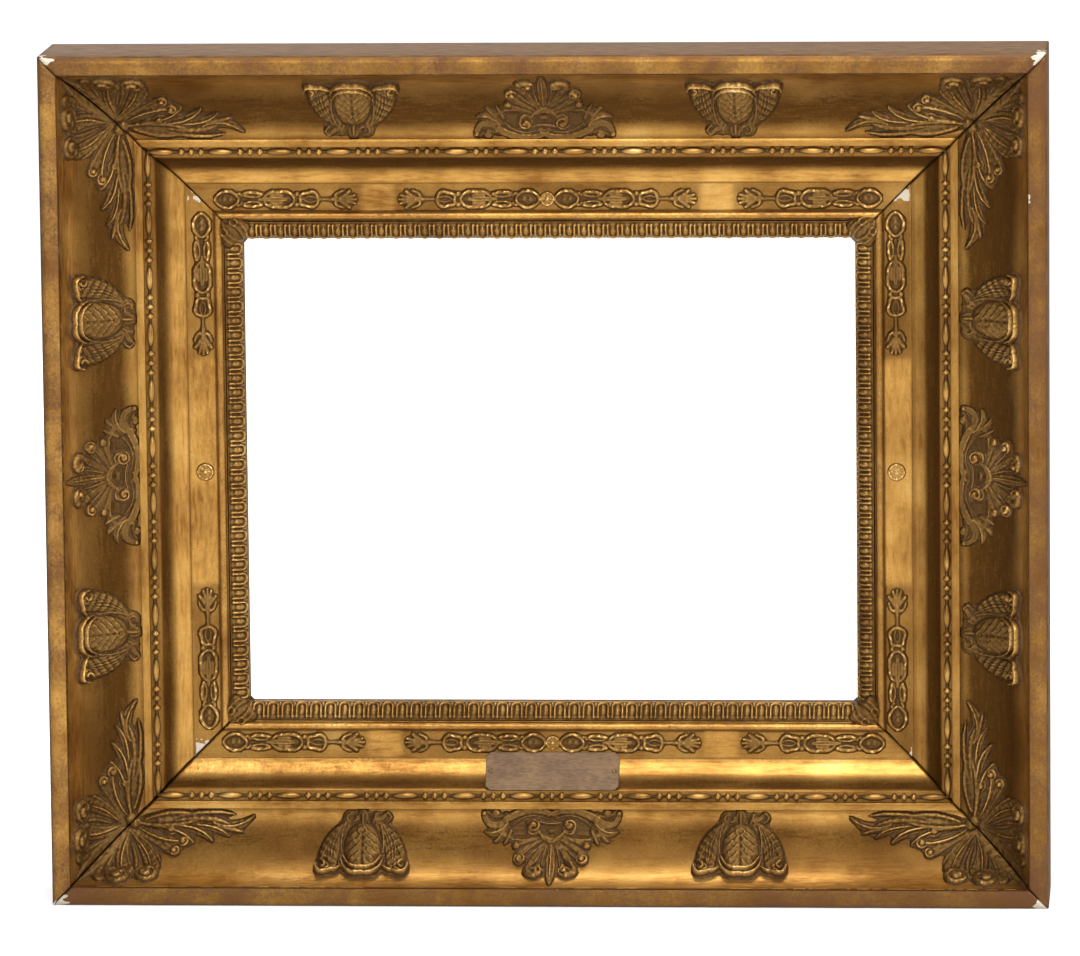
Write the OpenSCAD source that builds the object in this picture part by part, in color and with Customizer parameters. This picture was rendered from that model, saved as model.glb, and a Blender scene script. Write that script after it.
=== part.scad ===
// Gilt picture frame with a hollow and cove moulding and applied composition ornament.
// It stands on its lower side: X runs along the width, Z is up and the front faces -Y.

/* [Frame] */
// Width of the sight opening
sight_w = 406; // [386:1:440]
// Height of the sight opening
sight_h = 311; // [300:1:345]
// Depth from the wall plane to the front of the outer band
frame_depth = 85; // [84:0.5:90]
// Opening of the dried-out mitre joints
mitre_gap = 0.5; // [0.2:0.1:0.8]

/* [Hollow rail] */
// Width of the flat outer band
band_w = 12.2; // [11:0.1:14]
// Rounding of the outer front arris
band_arris_r = 4.5; // [2:0.5:6]
// Depth of the quirk between the band and the hollow
quirk_d = 1.6; // [1:0.1:2.5]
// Width of the quirk
quirk_w = 0.6; // [0.4:0.1:1.2]
// Width of the hollow
hollow_w = 46.4; // [45:0.1:48]
// Fall of the hollow from the quirk to the fillet, in shares of the frame's depth
hollow_fall_share = 0.468; // [0.45:0.002:0.48]
// Radius of the hollow
hollow_r = 53; // [52:0.5:58]
// Width of the fillet inside the hollow
fillet_w = 4.9; // [4:0.1:6]
// Rise of the fillet above the hollow
fillet_rise = 2.8; // [2:0.1:3.5]
// Width of the channel that holds the bead strip
channel_w = 6.9; // [6.8:0.1:8]
// Depth of that channel below the fillet
channel_d = 3.4; // [2.5:0.1:4]
// Width of the ledge under the frieze rail
lap_w = 11; // [8:0.5:14]
// Height of the ledge above the wall plane
lap_h = 18; // [14:0.5:20]

/* [Frieze rail] */
// Width of the cove
cove_w = 19.4; // [18:0.1:21]
// Fall of the cove, in shares of the frame's depth
cove_fall_share = 0.167; // [0.155:0.001:0.175]
// Radius of the cove
cove_r = 24; // [22:0.5:30]
// Width of the flat frieze
frieze_w = 18.8; // [17:0.1:21]
// Step from the cove down to the frieze
frieze_step = 0.6; // [0.4:0.1:1]
// Radius of the astragal inside the frieze
astragal_r = 2.75; // [2.2:0.05:3]
// Gap between the astragal and the sight strip
sight_gap = 1.3; // [1:0.1:2]
// Height of the ledge that carries the sight strip
strip_seat_h = 19.5; // [19:0.1:21]
// Recess of the back behind the wall plane
back_recess = 6; // [5.5:0.1:8]
// Height of the rebate seat above the wall plane
rebate_h = 15; // [14:0.5:16]
// Width of the rebate
rebate_w = 7.5; // [6:0.5:9]

/* [Ornament] */
// Radius of the round beads
bead_r = 2.9; // [2.4:0.05:3.1]
// Largest radius of the long spindles
spindle_r = 2.5; // [2:0.05:2.8]
// Repeat of the bead and reel pattern
bead_repeat = 42.7; // [38:0.1:48]
// Width of the sight strip
strip_w = 12; // [11:0.1:13]
// Radius of the sight strip's ovolo
ovolo_r = 10; // [9:0.1:11]
// Pitch of the arches on the sight strip
arch_pitch = 9.4; // [8:0.1:11]
// Thickness of the petals
petal_t = 2.6; // [2:0.1:3.2]
// Distance of the roses from the middle of the long rails
rose_long = 126; // [118:1:130]
// Distance of the roses from the middle of the short rails
rose_short = 105; // [98:1:107]
// Length of the scroll at each end of a frieze, in shares of half the sight width
end_scroll_share = 0.468; // [0.43:0.004:0.478]
// Half length of the scroll in the middle of the long friezes, in shares of half the sight width
mid_scroll_share = 0.488; // [0.44:0.004:0.492]
// Height of the frieze scrolls
scroll_h = 11.6; // [9:0.1:13]

/* [Title plate] */
// Length of the plate
plate_l = 89; // [70:1:100]
// Thickness of the plate
plate_t = 0.9; // [0.6:0.1:1.4]
// Clipped corners of the plate
plate_clip = 3; // [2:0.5:5]
// Overlap of the plate onto the frieze
plate_lap = 3.9; // [3:0.1:4]
// Radius of the plate's pins
pin_r = 0.8; // [0.6:0.1:1]
// Head radius of the plate's pins
pin_head_r = 1.6; // [1.3:0.1:2]

/* [Back hardware] */
// Width of the hanger straps
strap_w = 12; // [10:0.5:13]
// Length of the hanger straps below the eye
strap_l = 32; // [28:1:38]
// Thickness of the strap metal
strap_t = 0.9; // [0.7:0.1:1]
// Radius of the hanger ring's wire
wire_r = 1.3; // [1.1:0.1:1.4]
// Radius of the hanger ring along the middle of its wire
ring_r = 10; // [9:0.5:12]
// Height of the hanger eyes above the bottom of the frame
hanger_z = 390; // [360:5:410]
// Reach of the turn buttons from their screw
button_reach = 15; // [14:0.5:16]
// Tail of the turn buttons behind their screw
button_tail = 9; // [7:0.5:10]
// Width of the turn buttons
button_w = 11; // [9:0.5:12]
// Thickness of the turn buttons
button_t = 2.2; // [1.8:0.1:2.4]
// Shank radius of the turn button screws
button_screw_r = 2; // [1.5:0.1:2.2]
// Length of the keys across the mitres
key_l = 54; // [44:1:60]
// Width of the keys at their ends
key_w = 24; // [18:1:28]
// Thickness of the keys
key_t = 7; // [5:0.5:9]

/* [Hidden] */
$fn = 48;

// Fits and small steps
turn_fit = 0.05;
seat_fit = 0.02;
thin_gap = 0.3;
cut_past = 1;
hidden_gap = 0.02;
glue_gap = 0.08;

// Lines of the profile, from the outer side inwards
hollow_u = band_w + quirk_w;
fillet_u = hollow_u + hollow_w;
channel_u = fillet_u + fillet_w;
cove_u = channel_u + channel_w;
frieze_u = cove_u + cove_w;
astragal_u = frieze_u + frieze_w;
inner_u = astragal_u + 2 * astragal_r;
strip_u = inner_u + sight_gap;
sight_u = strip_u + strip_w;
lap_u = cove_u + lap_w;
rebate_u = sight_u - rebate_w;

// Heights of the profile above the wall plane
hollow_fall = frame_depth * hollow_fall_share;
cove_fall = frame_depth * cove_fall_share;
hollow_h = frame_depth - quirk_d;
hollow_end_h = hollow_h - hollow_fall;
fillet_h = hollow_end_h + fillet_rise;
channel_h = fillet_h - channel_d;
cove_h = channel_h - frieze_step;
cove_end_h = cove_h - cove_fall;
frieze_h = cove_end_h - frieze_step;
inner_h = frieze_h - frieze_step;

// Overall size
moulding_w = sight_u;
frame_w = sight_w + 2 * moulding_w;
frame_h = sight_h + 2 * moulding_w;

// Centre of an arc of radius r below the chord from a to b
function arc_centre(a, b, r) =
    (a + b) / 2 + sqrt(r * r - pow(norm(b - a) / 2, 2)) * [a[1] - b[1], b[0] - a[0]] / norm(b - a);
hollow_c = arc_centre([hollow_u, hollow_h], [fillet_u, hollow_end_h], hollow_r);
cove_c = arc_centre([cove_u, cove_h], [frieze_u, cove_end_h], cove_r);
ovolo_share = 0.2;
ovolo_c = [strip_u + ovolo_share * strip_w, strip_seat_h - ovolo_r / 10];

// Sides are numbered 0 bottom, 1 right, 2 top and 3 left.
function rail_len(side) = side % 2 == 0 ? frame_w : frame_h;
function rail_out(side) = side % 2 == 0 ? frame_h / 2 : frame_w / 2;

// Puts a shape drawn along a rail on its side: x along it, y inwards, z towards the front
module on_rail(side) {
    translate([0, frame_depth / 2, frame_h / 2])
        rotate([90, 0, 0])
            rotate(90 * side)
                translate([0, -rail_out(side), 0])
                    children();
}

// Runs a cross section along the rail, its x inwards and its y towards the front
module run(len) {
    rotate([90, 0, 90])
        linear_extrude(len, center = true)
            children();
}

// Space of one rail between its two mitres
module mitre_space(side, gap = mitre_gap) {
    half = rail_len(side) / 2 - gap / sqrt(2);
    reach = moulding_w + cut_past;
    translate([0, 0, -cut_past])
        linear_extrude(frame_depth + 2 * cut_past)
            polygon([[-half, 0], [half, 0], [half - reach, reach], [reach - half, reach]]);
}

// Cross section of the outer member, without its lap ledge's neighbour
module hollow_section() {
    difference() {
        polygon([
            [0, 0],
            [lap_u, 0],
            [lap_u, lap_h],
            [cove_u, lap_h],
            [cove_u, channel_h],
            [channel_u, channel_h],
            [channel_u, fillet_h],
            [fillet_u, fillet_h],
            [fillet_u, hollow_h],
            [band_w, hollow_h],
            [band_w, frame_depth],
            [0, frame_depth]
        ]);
        intersection() {
            translate(hollow_c)
                circle(hollow_r);
            translate([band_w, 0])
                square([hollow_w + quirk_w, frame_depth + cut_past]);
        }
        difference() {
            translate([-cut_past, frame_depth - band_arris_r])
                square(band_arris_r + cut_past);
            translate([band_arris_r, frame_depth - band_arris_r])
                circle(band_arris_r);
        }
    }
}

// Cross section of the inner member with its cove, frieze, astragal and rebate
module frieze_section() {
    difference() {
        polygon([
            [cove_u, lap_h],
            [lap_u, lap_h],
            [lap_u, back_recess],
            [rebate_u, back_recess],
            [rebate_u, rebate_h],
            [sight_u, rebate_h],
            [sight_u, strip_seat_h],
            [strip_u - thin_gap, strip_seat_h],
            [strip_u - thin_gap, inner_h],
            [inner_u, inner_h],
            [inner_u, frieze_h],
            [frieze_u, frieze_h],
            [frieze_u, cove_h],
            [cove_u, cove_h]
        ]);
        intersection() {
            translate(cove_c)
                circle(cove_r);
            translate([0, 0])
                square([frieze_u, frame_depth]);
        }
    }
}

// Astragal standing on the inner edge of the frieze
module astragal_section() {
    intersection() {
        translate([inner_u - astragal_r, frieze_h])
            circle(astragal_r);
        translate([astragal_u, frieze_h - frieze_step / 2])
            square([2 * astragal_r, 2 * astragal_r]);
    }
}

// Mitre keys let into the back of the outer members
module key_shape(fit = 0) {
    waist = key_w / 2;
    polygon([
        [-key_l / 2 - fit, key_w / 2 + fit],
        [0, waist / 2 + fit],
        [key_l / 2 + fit, key_w / 2 + fit],
        [key_l / 2 + fit, -key_w / 2 - fit],
        [0, -waist / 2 - fit],
        [-key_l / 2 - fit, -key_w / 2 - fit]
    ]);
}

key_u = cove_u / 2;

module key_pocket(side, end) {
    translate([end * (rail_len(side) / 2 - key_u), key_u, -cut_past])
        rotate(end * 45)
            linear_extrude(key_t + cut_past + seat_fit)
                key_shape(seat_fit);
}

module hollow_rail(side) {
    color("#9c6f2c")
        on_rail(side)
            difference() {
                intersection() {
                    run(rail_len(side))
                        hollow_section();
                    mitre_space(side);
                }
                key_pocket(side, 1);
                key_pocket(side, -1);
            }
}

// Places of the back hardware
button_u = rebate_u - button_screw_r * 4.6;
button_hole_l = 12;
strap_u = (lap_u + button_u) / 2;
strap_screw_r = 1.4;
strap_screw_l = 11;
strap_screw_shares = [0.5, 0.84];
eye_r = wire_r + turn_fit + strap_t;
eye_h = back_recess - eye_r - thin_gap - turn_fit;
hanger_s = hanger_z - frame_h / 2;

// Height of a point of the rail measured along it: the left rail runs down, the right one up
function along(side, z) = side == 1 ? z : -z;

module frieze_rail(side) {
    color("#a5772f")
        on_rail(side)
            difference() {
                intersection() {
                    union() {
                        run(rail_len(side))
                            frieze_section();
                        run(rail_len(side))
                            astragal_section();
                    }
                    mitre_space(side);
                }
                translate([0, button_u, back_recess - cut_past])
                    cylinder(r = button_screw_r + seat_fit, h = button_hole_l + cut_past);
                if (side % 2 == 1)
                    for (share = strap_screw_shares)
                        translate([along(side, hanger_s - share * strap_l), strap_u, back_recess - cut_past])
                            cylinder(r = strap_screw_r + seat_fit, h = strap_screw_l + cut_past);
                if (side == 0)
                    plate_pins_at()
                        cylinder(r = pin_r + seat_fit, h = pin_l, center = true);
            }
}

module mitre_keys() {
    color("#7d5a34")
        for (side = [0, 2], end = [-1, 1])
            on_rail(side)
                translate([end * (rail_len(side) / 2 - key_u), key_u, 0])
                    rotate(end * 45)
                        linear_extrude(key_t)
                            key_shape();
}

// Bead and reel strips: one half-round turning for each rail
strip_end_share = 0.45;
string_r = bead_r * 0.42;
spindle_share = 0.5;
steps_per_bead = 6;

// Radius of the turning at share t of one repeat: a long spindle, then three beads
function turned_r(t) =
    t < spindle_share
        ? string_r + (spindle_r - string_r) * pow(sin(180 * t / spindle_share), 0.7)
        : let (b = (t - spindle_share) / (1 - spindle_share) * 3, c = 2 * (b - floor(b)) - 1)
            max(string_r, bead_r * sqrt(max(0, 1 - c * c)));

module bead_strip(side) {
    len = rail_len(side) - 2 * channel_u;
    half = len / 2 - channel_w * strip_end_share;
    count = 2 * floor(half / bead_repeat) + 1;
    repeat = 2 * half / (count + spindle_share);
    total = ceil((count + spindle_share) * 6 * steps_per_bead);
    color("#8f6426")
        on_rail(side)
            intersection() {
                translate([0, (channel_u + cove_u) / 2, channel_h])
                    rotate([-90, 0, -90])
                        rotate_extrude(angle = -180)
                            polygon(concat(
                                [[0, -half]],
                                [for (i = [0:total])
                                    let (s = i / total * 2 * half, n = s / repeat)
                                    [turned_r(n - floor(n)), s - half]],
                                [[0, half]]
                            ));
                mitre_space(side);
            }
}

// Sight strip: an ovolo with a row of round arches
arch_share = 0.78;
arch_ridge = arch_pitch * 0.13;
arch_cut = 1.1;
leaf_l = strip_w + sight_gap;

module ovolo_section(drop = 0) {
    intersection() {
        translate(ovolo_c)
            circle(ovolo_r - drop);
        translate([strip_u, strip_seat_h])
            square([strip_w, ovolo_r]);
    }
}

tongue_steps = 8;
module tongue(w, l) {
    polygon(concat(
        [[-w / 2, 0], [w / 2, 0]],
        [for (i = [0:tongue_steps])
            let (a = 180 * i / tongue_steps)
            [w / 2 * cos(a), l - w / 2 + w / 2 * sin(a)]]
    ));
}

module sight_strip(side) {
    free = rail_len(side) - 2 * strip_u - 2 * leaf_l;
    count = floor(free / arch_pitch);
    pitch = free / count;
    wide = pitch * arch_share;
    color("#86602a")
        on_rail(side)
            difference() {
                intersection() {
                    run(rail_len(side))
                        ovolo_section();
                    mitre_space(side);
                }
                intersection() {
                    translate([0, strip_u, strip_seat_h])
                        linear_extrude(ovolo_r)
                            for (i = [0:count - 1])
                                translate([(i + 0.5) * pitch - free / 2, 0])
                                    translate([0, arch_ridge])
                                        tongue(wide - 2 * arch_ridge, strip_w - 3 * arch_ridge);
                    run(free)
                        difference() {
                            square([sight_u + cut_past, frame_depth]);
                            translate(ovolo_c)
                                circle(ovolo_r - arch_cut);
                        }
                }
                intersection() {
                    translate([0, strip_u, strip_seat_h])
                        linear_extrude(ovolo_r)
                            for (i = [0:count])
                                translate([i * pitch - free / 2, 0])
                                    translate([-pitch * (1 - arch_share) / 2, -cut_past])
                                        square([pitch * (1 - arch_share), strip_w * 0.72]);
                    run(rail_len(side))
                        difference() {
                            square([sight_u + cut_past, frame_depth]);
                            translate(ovolo_c)
                                circle(ovolo_r - arch_cut);
                        }
                }
            }
}

// Leaves over the corners of the sight strips
leaf_t = 1.6;
module sight_leaf(side) {
    color("#946a2c")
        on_rail(side)
            translate([rail_len(side) / 2, 0, 0])
                difference() {
                    intersection() {
                        union() {
                            translate([-moulding_w, 0, 0])
                                run(2 * moulding_w)
                                    ovolo_skin(leaf_t);
                            rotate(90)
                                translate([moulding_w, 0, 0])
                                    run(2 * moulding_w)
                                        ovolo_skin(leaf_t);
                        }
                        translate([0, 0, strip_seat_h])
                            linear_extrude(ovolo_r + leaf_t)
                                intersection() {
                                    translate([-sight_u, sight_u])
                                        rotate(-45)
                                            leaf_outline(1);
                                    translate([-sight_u - strip_w, strip_u])
                                        square(2 * strip_w);
                                }
                    }
                    intersection() {
                        union() {
                            translate([-moulding_w, 0, 0])
                                run(2 * moulding_w)
                                    ovolo_skin(0);
                            rotate(90)
                                translate([moulding_w, 0, 0])
                                    run(2 * moulding_w)
                                        ovolo_skin(0);
                        }
                        translate([-sight_u, sight_u, strip_seat_h])
                            rotate(-45)
                                linear_extrude(ovolo_r + leaf_t)
                                    leaf_outline(1.2);
                    }
                }
}

module ovolo_skin(t) {
    intersection() {
        translate(ovolo_c)
            circle(ovolo_r + t);
        translate([strip_u, strip_seat_h])
            square([strip_w, ovolo_r + t]);
    }
}

module leaf_outline(f) {
    polygon([for (i = [0:23])
        let (a = i * 15, r = leaf_l * f * (0.62 + 0.07 * cos(3 * a)))
        [r * cos(a), -leaf_l * 0.62 + r * sin(a) * 0.98]]);
}

// Strokes: leaves, petals and stems of varying width along a curve
function bend(a, b, c, t) = (1 - t) * (1 - t) * a + 2 * t * (1 - t) * b + t * t * c;
function across(a, b, c, t) =
    let (d = (1 - t) * (b - a) + t * (c - b), n = max(norm(d), 0.0001))
    [-d[1], d[0]] / n;
function stroke_side(k, t, dir) =
    bend([k[0], k[1]], [k[2], k[3]], [k[4], k[5]], t)
        + dir * bend(k[6], k[7], k[8], t) * across([k[0], k[1]], [k[2], k[3]], [k[4], k[5]], t);

stroke_steps = 4;
module strokes(table) {
    for (k = table)
        polygon(concat(
            [for (i = [0:stroke_steps]) stroke_side(k, i / stroke_steps, 1)],
            [for (i = [stroke_steps:-1:0]) stroke_side(k, i / stroke_steps, -1)]
        ));
}

// Both halves of an ornament about its middle line
module both_ways() {
    children();
    mirror([1, 0])
        children();
}

// The ornament on the hollow is drawn on its unrolled face, from the fillet outwards to the quirk
fillet_turn = atan2(hollow_end_h - hollow_c[1], fillet_u - hollow_c[0]);
quirk_turn = atan2(hollow_h - hollow_c[1], hollow_u - hollow_c[0]);
hollow_girth = hollow_r * (fillet_turn - quirk_turn) * PI / 180;

// The tables of strokes on the hollow are in shares of this part of its girth
part = hollow_girth / 65;
outline_fit = part / 100;

// A stroke goes through three points, and this gives the pull of its curve for the middle one
function drawn(k) = [
    k[0], k[1], 2 * k[2] - (k[0] + k[4]) / 2, 2 * k[3] - (k[1] + k[5]) / 2, k[4], k[5],
    k[6], 2 * k[7] - (k[6] + k[8]) / 2, k[8]
];

// Plan of a point of the unrolled face: x along the rail and y outwards from the fillet
function rolled(p) = [
    p[0] * part,
    fillet_u - hollow_c[0] - hollow_r * cos(fillet_turn - p[1] * part / hollow_r * 180 / PI)
];

module petals(table) {
    for (row = table) {
        k = drawn(row);
        polygon(concat(
            [for (i = [0:stroke_steps]) rolled(stroke_side(k, i / stroke_steps, 1))],
            [for (i = [stroke_steps:-1:0]) rolled(stroke_side(k, i / stroke_steps, -1))]
        ));
    }
}

// Layer of thickness t on the hollow over a plan, with its middle at pos along the rail
module on_hollow(t, pos) {
    intersection() {
        translate([pos, fillet_u, hollow_end_h - cut_past])
            linear_extrude(hollow_fall)
                mirror([0, 1])
                    offset(delta = outline_fit)
                        children();
        translate([pos, 0, 0])
            run(4 * hollow_w)
                difference() {
                    intersection() {
                        translate(hollow_c)
                            circle(hollow_r - glue_gap);
                        translate([hollow_u + thin_gap, 0])
                            square([hollow_w - 2 * thin_gap, frame_depth]);
                    }
                    translate(hollow_c)
                        circle(hollow_r - t);
                }
    }
}

// Height of the hollow's face above the wall plane at u inwards
function hollow_floor(u) = hollow_c[1] - sqrt(pow(hollow_r, 2) - pow(u - hollow_c[0], 2));

// What is raised on the hollow, cut off where it would enter the wood
module above_hollow(pos) {
    intersection() {
        children();
        translate([pos, 0, 0])
            run(4 * hollow_w)
                translate(hollow_c)
                    circle(hollow_r - glue_gap);
    }
}

// Curled tips: round knobs that stand on the hollow, given as x, y and radius
module curls(table, pos) {
    above_hollow(pos)
        for (k = table) {
            u = fillet_u - rolled(k)[1];
            translate([pos + rolled(k)[0], u, hollow_floor(u)])
                sphere(k[2] * part);
        }
}

// Centre palmette: a fan of petals over two C-scrolls, of which one half is drawn
palmette_shares = [
    [0, 22.5, 0, 44, 0, 63, 1, 3.4, 0.5],
    [2.2, 22, 7.6, 30.5, 12.2, 39.5, 1, 1.8, 2.5],
    [12.2, 39.5, 14.6, 46.5, 10.5, 51, 2.5, 2.6, 3],
    [3.4, 21, 14.5, 26.8, 21.8, 33.5, 1, 1.7, 2.2],
    [4.4, 19.8, 14, 23, 21.3, 25.6, 1, 1.3, 1.5],
    [0, 22.4, 4.9, 20.8, 8.6, 16, 2.4, 1.8, 1],
    [0, 10.6, 4, 10.2, 9.4, 9.6, 1.2, 1.1, 1.2],
    [0, 4.6, 15, 3.4, 30, 7.2, 3.6, 2.5, 3],
    [30, 7.2, 32.6, 15.5, 24.6, 20.8, 3, 2.5, 1],
    [3.6, 5, 5.4, 13, 11.9, 15, 1.3, 1.3, 1.3],
    [6.5, 18, 14.5, 20.6, 25, 21.2, 1, 1.2, 1.1],
    [29, 6, 39.6, 11, 45.6, 3.4, 1.8, 2.3, 1.5],
    [29, 10, 35.8, 16.6, 44, 17.4, 2.2, 2.6, 0.8]
];
palmette_curl_shares = [
    [9.6, 47.4, 4.4],
    [20.6, 36.8, 3.8],
    [23, 26.6, 2.4],
    [11.9, 11.4, 3.6]
];

module centre_palmette(side) {
    color("#b07d31")
        on_rail(side)
            union() {
                on_hollow(petal_t, 0)
                    both_ways()
                        petals(palmette_shares);
                both_ways()
                    curls(palmette_curl_shares, 0);
            }
}

// Rose: a bud between rolled petals, with a calyx next to the fillet, of which one half is drawn
rose_shares = [
    [0, 41, 7.5, 47.5, 12.6, 39.5, 4, 3, 1.4],
    [0, 51.5, 8.5, 50.4, 13.8, 42, 2.6, 2.2, 1],
    [10.6, 10.5, 22.8, 20, 25.8, 38, 3, 7, 4.6],
    [15, 22, 18.5, 33, 17.5, 46, 2.6, 5, 4],
    [26, 28, 31.4, 38, 27.5, 48.4, 1.4, 2, 2.4],
    [27.5, 48.4, 21, 51.2, 13.6, 47.4, 2.4, 2.1, 1.5],
    [3, 9, 9.5, 5.2, 14, 9, 3, 3.4, 1.4]
];
rose_curl_shares = [
    [8.2, 6.4, 4.2],
    [26.2, 41.5, 3.4]
];
bud_shares = [12.6, 41];
bud_r = bud_shares[0] * part;
bud_l = bud_shares[1] * part;
bud_sink = bud_r * 0.4;
bud_u = fillet_u - rolled([0, bud_l / part * 0.66])[1];
bud_lean = atan2(bud_u - hollow_c[0], hollow_c[1] - hollow_floor(bud_u));

// Spindle with pointed ends along y, its axis through the origin
module bud() {
    flank_r = (pow(bud_l / 2, 2) + pow(bud_r, 2)) / (2 * bud_r);
    rotate([-90, 0, 0])
        rotate_extrude()
            intersection() {
                translate([bud_r - flank_r, 0])
                    circle(flank_r);
                translate([0, -bud_l / 2])
                    square([bud_r, bud_l]);
            }
}

module rose(side, pos) {
    color("#ab7930")
        on_rail(side)
            union() {
                on_hollow(petal_t, pos)
                    both_ways()
                        petals(rose_shares);
                translate([pos, 0, 0])
                    both_ways()
                        curls(rose_curl_shares, 0);
                above_hollow(pos)
                    translate([pos, bud_u, hollow_floor(bud_u)])
                        rotate([bud_lean, 0, 0])
                            translate([0, 0, -bud_sink])
                                bud();
            }
}

// Corner palmette: a leaf on the mitre, petals and an acanthus arm, of which the half on one rail
// is drawn, with x outwards from the corner of the fillet
corner_shares = [
    [9, 10, 29, 40, 45, 62, 3.2, 14, 0.4],
    [12.5, 19, 9.6, 36, 10.4, 50, 1.2, 3.4, 3.6],
    [10.4, 50, 13.4, 60, 20.5, 60, 3.4, 3.2, 2.8],
    [10, 19, -1, 32.5, -8.4, 42, 1.2, 2.8, 2.6],
    [-8.4, 42, -8.8, 51.5, -1.6, 56, 2.6, 2.4, 1.8],
    [8, 17.5, -5.5, 25, -13, 30, 1.3, 4.4, 4.6],
    [10, 12, -12, 6.4, -36, 4.8, 1.4, 3.8, 3.2],
    [-36, 4.8, -54, 6.6, -70, 3, 3.2, 3.2, 0.8],
    [-52, 9, -62, 11.8, -71, 3.4, 1.4, 2.2, 0.9],
    [10, 15, -10, 20.6, -30, 18.4, 1, 2.2, 2],
    [-30, 18.4, -37, 14, -33.5, 7, 2, 2, 1.4],
    [-16, 20.6, -26, 24.2, -36, 18, 1.6, 2.6, 1.2],
    [-34, 8, -42, 13, -45, 21, 1.8, 2.6, 2.2]
];
corner_curl_shares = [
    [20.4, 56, 4.5],
    [-2.8, 50, 4.7],
    [-14.5, 31, 4.9]
];

module corner_half(side, end) {
    on_rail(side)
        intersection() {
            mirror([end < 0 ? 1 : 0, 0, 0]) {
                on_hollow(petal_t, rail_len(side) / 2 - fillet_u)
                    petals(corner_shares);
                curls(corner_curl_shares, rail_len(side) / 2 - fillet_u);
            }
            mitre_space(side);
        }
}

module corner_palmette(side) {
    color("#b48034") {
        corner_half(side, 1);
        corner_half((side + 1) % 4, -1);
    }
}

// Frieze scrolls: a fan, a stem, loops and a leaf band, of which the upper half is drawn, with x
// from the fan's end in shares of scroll_part and y in shares of scroll_rise
scroll_shares = [
    [14.8, 0.3, 9, 2.8, 5.4, 5, 0.9, 1.6, 1.4],
    [14.4, 0.2, 7.6, 1.2, 1.6, 2.8, 0.9, 1.4, 1.2],
    [14, 0, 7, 0, 0.8, 0, 0.9, 1.2, 1],
    [12, 0, 20, 0, 27.4, 0, 2.4, 1.1, 1.2],
    [26, 0, 28.4, 4, 33, 4.2, 1.3, 1.5, 1.5],
    [33, 4.2, 37.6, 3, 38.6, -0.4, 1.5, 1.5, 1.5],
    [38, 0.6, 39.6, 3, 41.4, 3.6, 1.5, 1.7, 2],
    [41, 1.2, 46, 4.2, 54, 4.4, 1.2, 1.5, 1.6],
    [54, 4.4, 59.4, 4, 63.5, 1.2, 1.6, 1.6, 1],
    [39, 0.4, 52, 0.8, 67, 0.4, 0.9, 1.1, 0.9],
    [62, 1.6, 69.5, 4.6, 78, 3, 1.4, 1.6, 1.5],
    [77, 2.6, 86, 4.5, 93.6, 1.6, 1.5, 1.6, 1.3],
    [93.2, 1.6, 94.4, 0.2, 93, -1.4, 1.3, 1.3, 1.3],
    [66, 0, 82, 0, 90, 0, 0.9, 1.8, 1.4]
];
scroll_u = frieze_u + frieze_w * 0.56;
end_scroll_l = sight_w / 2 * end_scroll_share;
mid_scroll_l = sight_w / 2 * mid_scroll_share;

scroll_rise = scroll_h / 12;

function sized(k, x, y) = [
    k[0] * x, k[1] * y, k[2] * x, k[3] * y, k[4] * x, k[5] * y, k[6] * y, k[7] * y, k[8] * y
];

module scroll_plan(l) {
    scroll_part = l / 95;
    table = [for (k = scroll_shares) sized(drawn(k), scroll_part, scroll_rise)];
    for (m = [0, 1])
        mirror([0, m])
            strokes(table);
}

// Half scroll lying on the frieze from pos, its fan end first, running to the side of dir
module half_scroll(l, pos, dir) {
    translate([pos, scroll_u, frieze_h])
        mirror([dir < 0 ? 1 : 0, 0, 0])
            linear_extrude(petal_t * 0.7)
                offset(delta = 2.5 * outline_fit)
                    scroll_plan(l);
}

module small_rosette(pos, r, h) {
    translate([pos, scroll_u, frieze_h]) {
        cylinder(r1 = r, r2 = r * 0.86, h = h * 0.6);
        for (a = [0:60:300])
            rotate(a)
                translate([r * 0.52, 0, 0])
                    cylinder(r1 = r * 0.34, r2 = r * 0.24, h = h);
        cylinder(r = r * 0.26, h = h * 1.15);
    }
}

rosette_r = scroll_h * 0.4;
scroll_inset = 3.4;

module end_scrolls(side) {
    start = rail_len(side) / 2 - scroll_u - scroll_h / 2 - scroll_inset;
    color("#a87a33")
        on_rail(side)
            for (dir = [1, -1])
                half_scroll(end_scroll_l, dir * (start - end_scroll_l), dir);
}

module centre_scroll(side) {
    color("#a87a33")
        on_rail(side) {
            for (dir = [1, -1])
                half_scroll(mid_scroll_l - rosette_r, dir * mid_scroll_l, -dir);
            small_rosette(0, rosette_r, petal_t);
        }
}

module frieze_rosette(side) {
    color("#a87a33")
        on_rail(side)
            small_rosette(0, rosette_r * 1.25, petal_t);
}

// Title plate leaning from the frieze to the top of the cove
plate_foot = [frieze_u + plate_lap, frieze_h];
plate_head = [cove_u + hidden_gap, cove_h + hidden_gap];
plate_tilt = atan2(plate_head[1] - plate_foot[1], plate_foot[0] - plate_head[0]);
plate_w = norm(plate_head - plate_foot);
pin_edge = 3.2;
pin_head_h = 0.7;
plate_mid = (plate_head + plate_foot) / 2;

// A pin ends short of the ledge below it and of the joint with the outer member beside it
pin_depth_share = 0.85;
pin_reach_share = 0.9;
pin_l = 2 * min(
    pin_depth_share * (plate_mid[1] - lap_h) / cos(plate_tilt),
    pin_reach_share * (plate_mid[0] - cove_u) / sin(plate_tilt)
);

// Draws on the plate's back plane: x along the rail, y from the foot to the head, z to the front
module on_plate() {
    translate([0, plate_foot[0], plate_foot[1]])
        rotate([180 - plate_tilt, 0, 0])
            mirror([0, 0, 1])
                children();
}

module plate_pins_at() {
    on_plate()
        for (dir = [-1, 1])
            translate([dir * (plate_l / 2 - pin_edge), plate_w / 2, 0])
                children();
}

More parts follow.
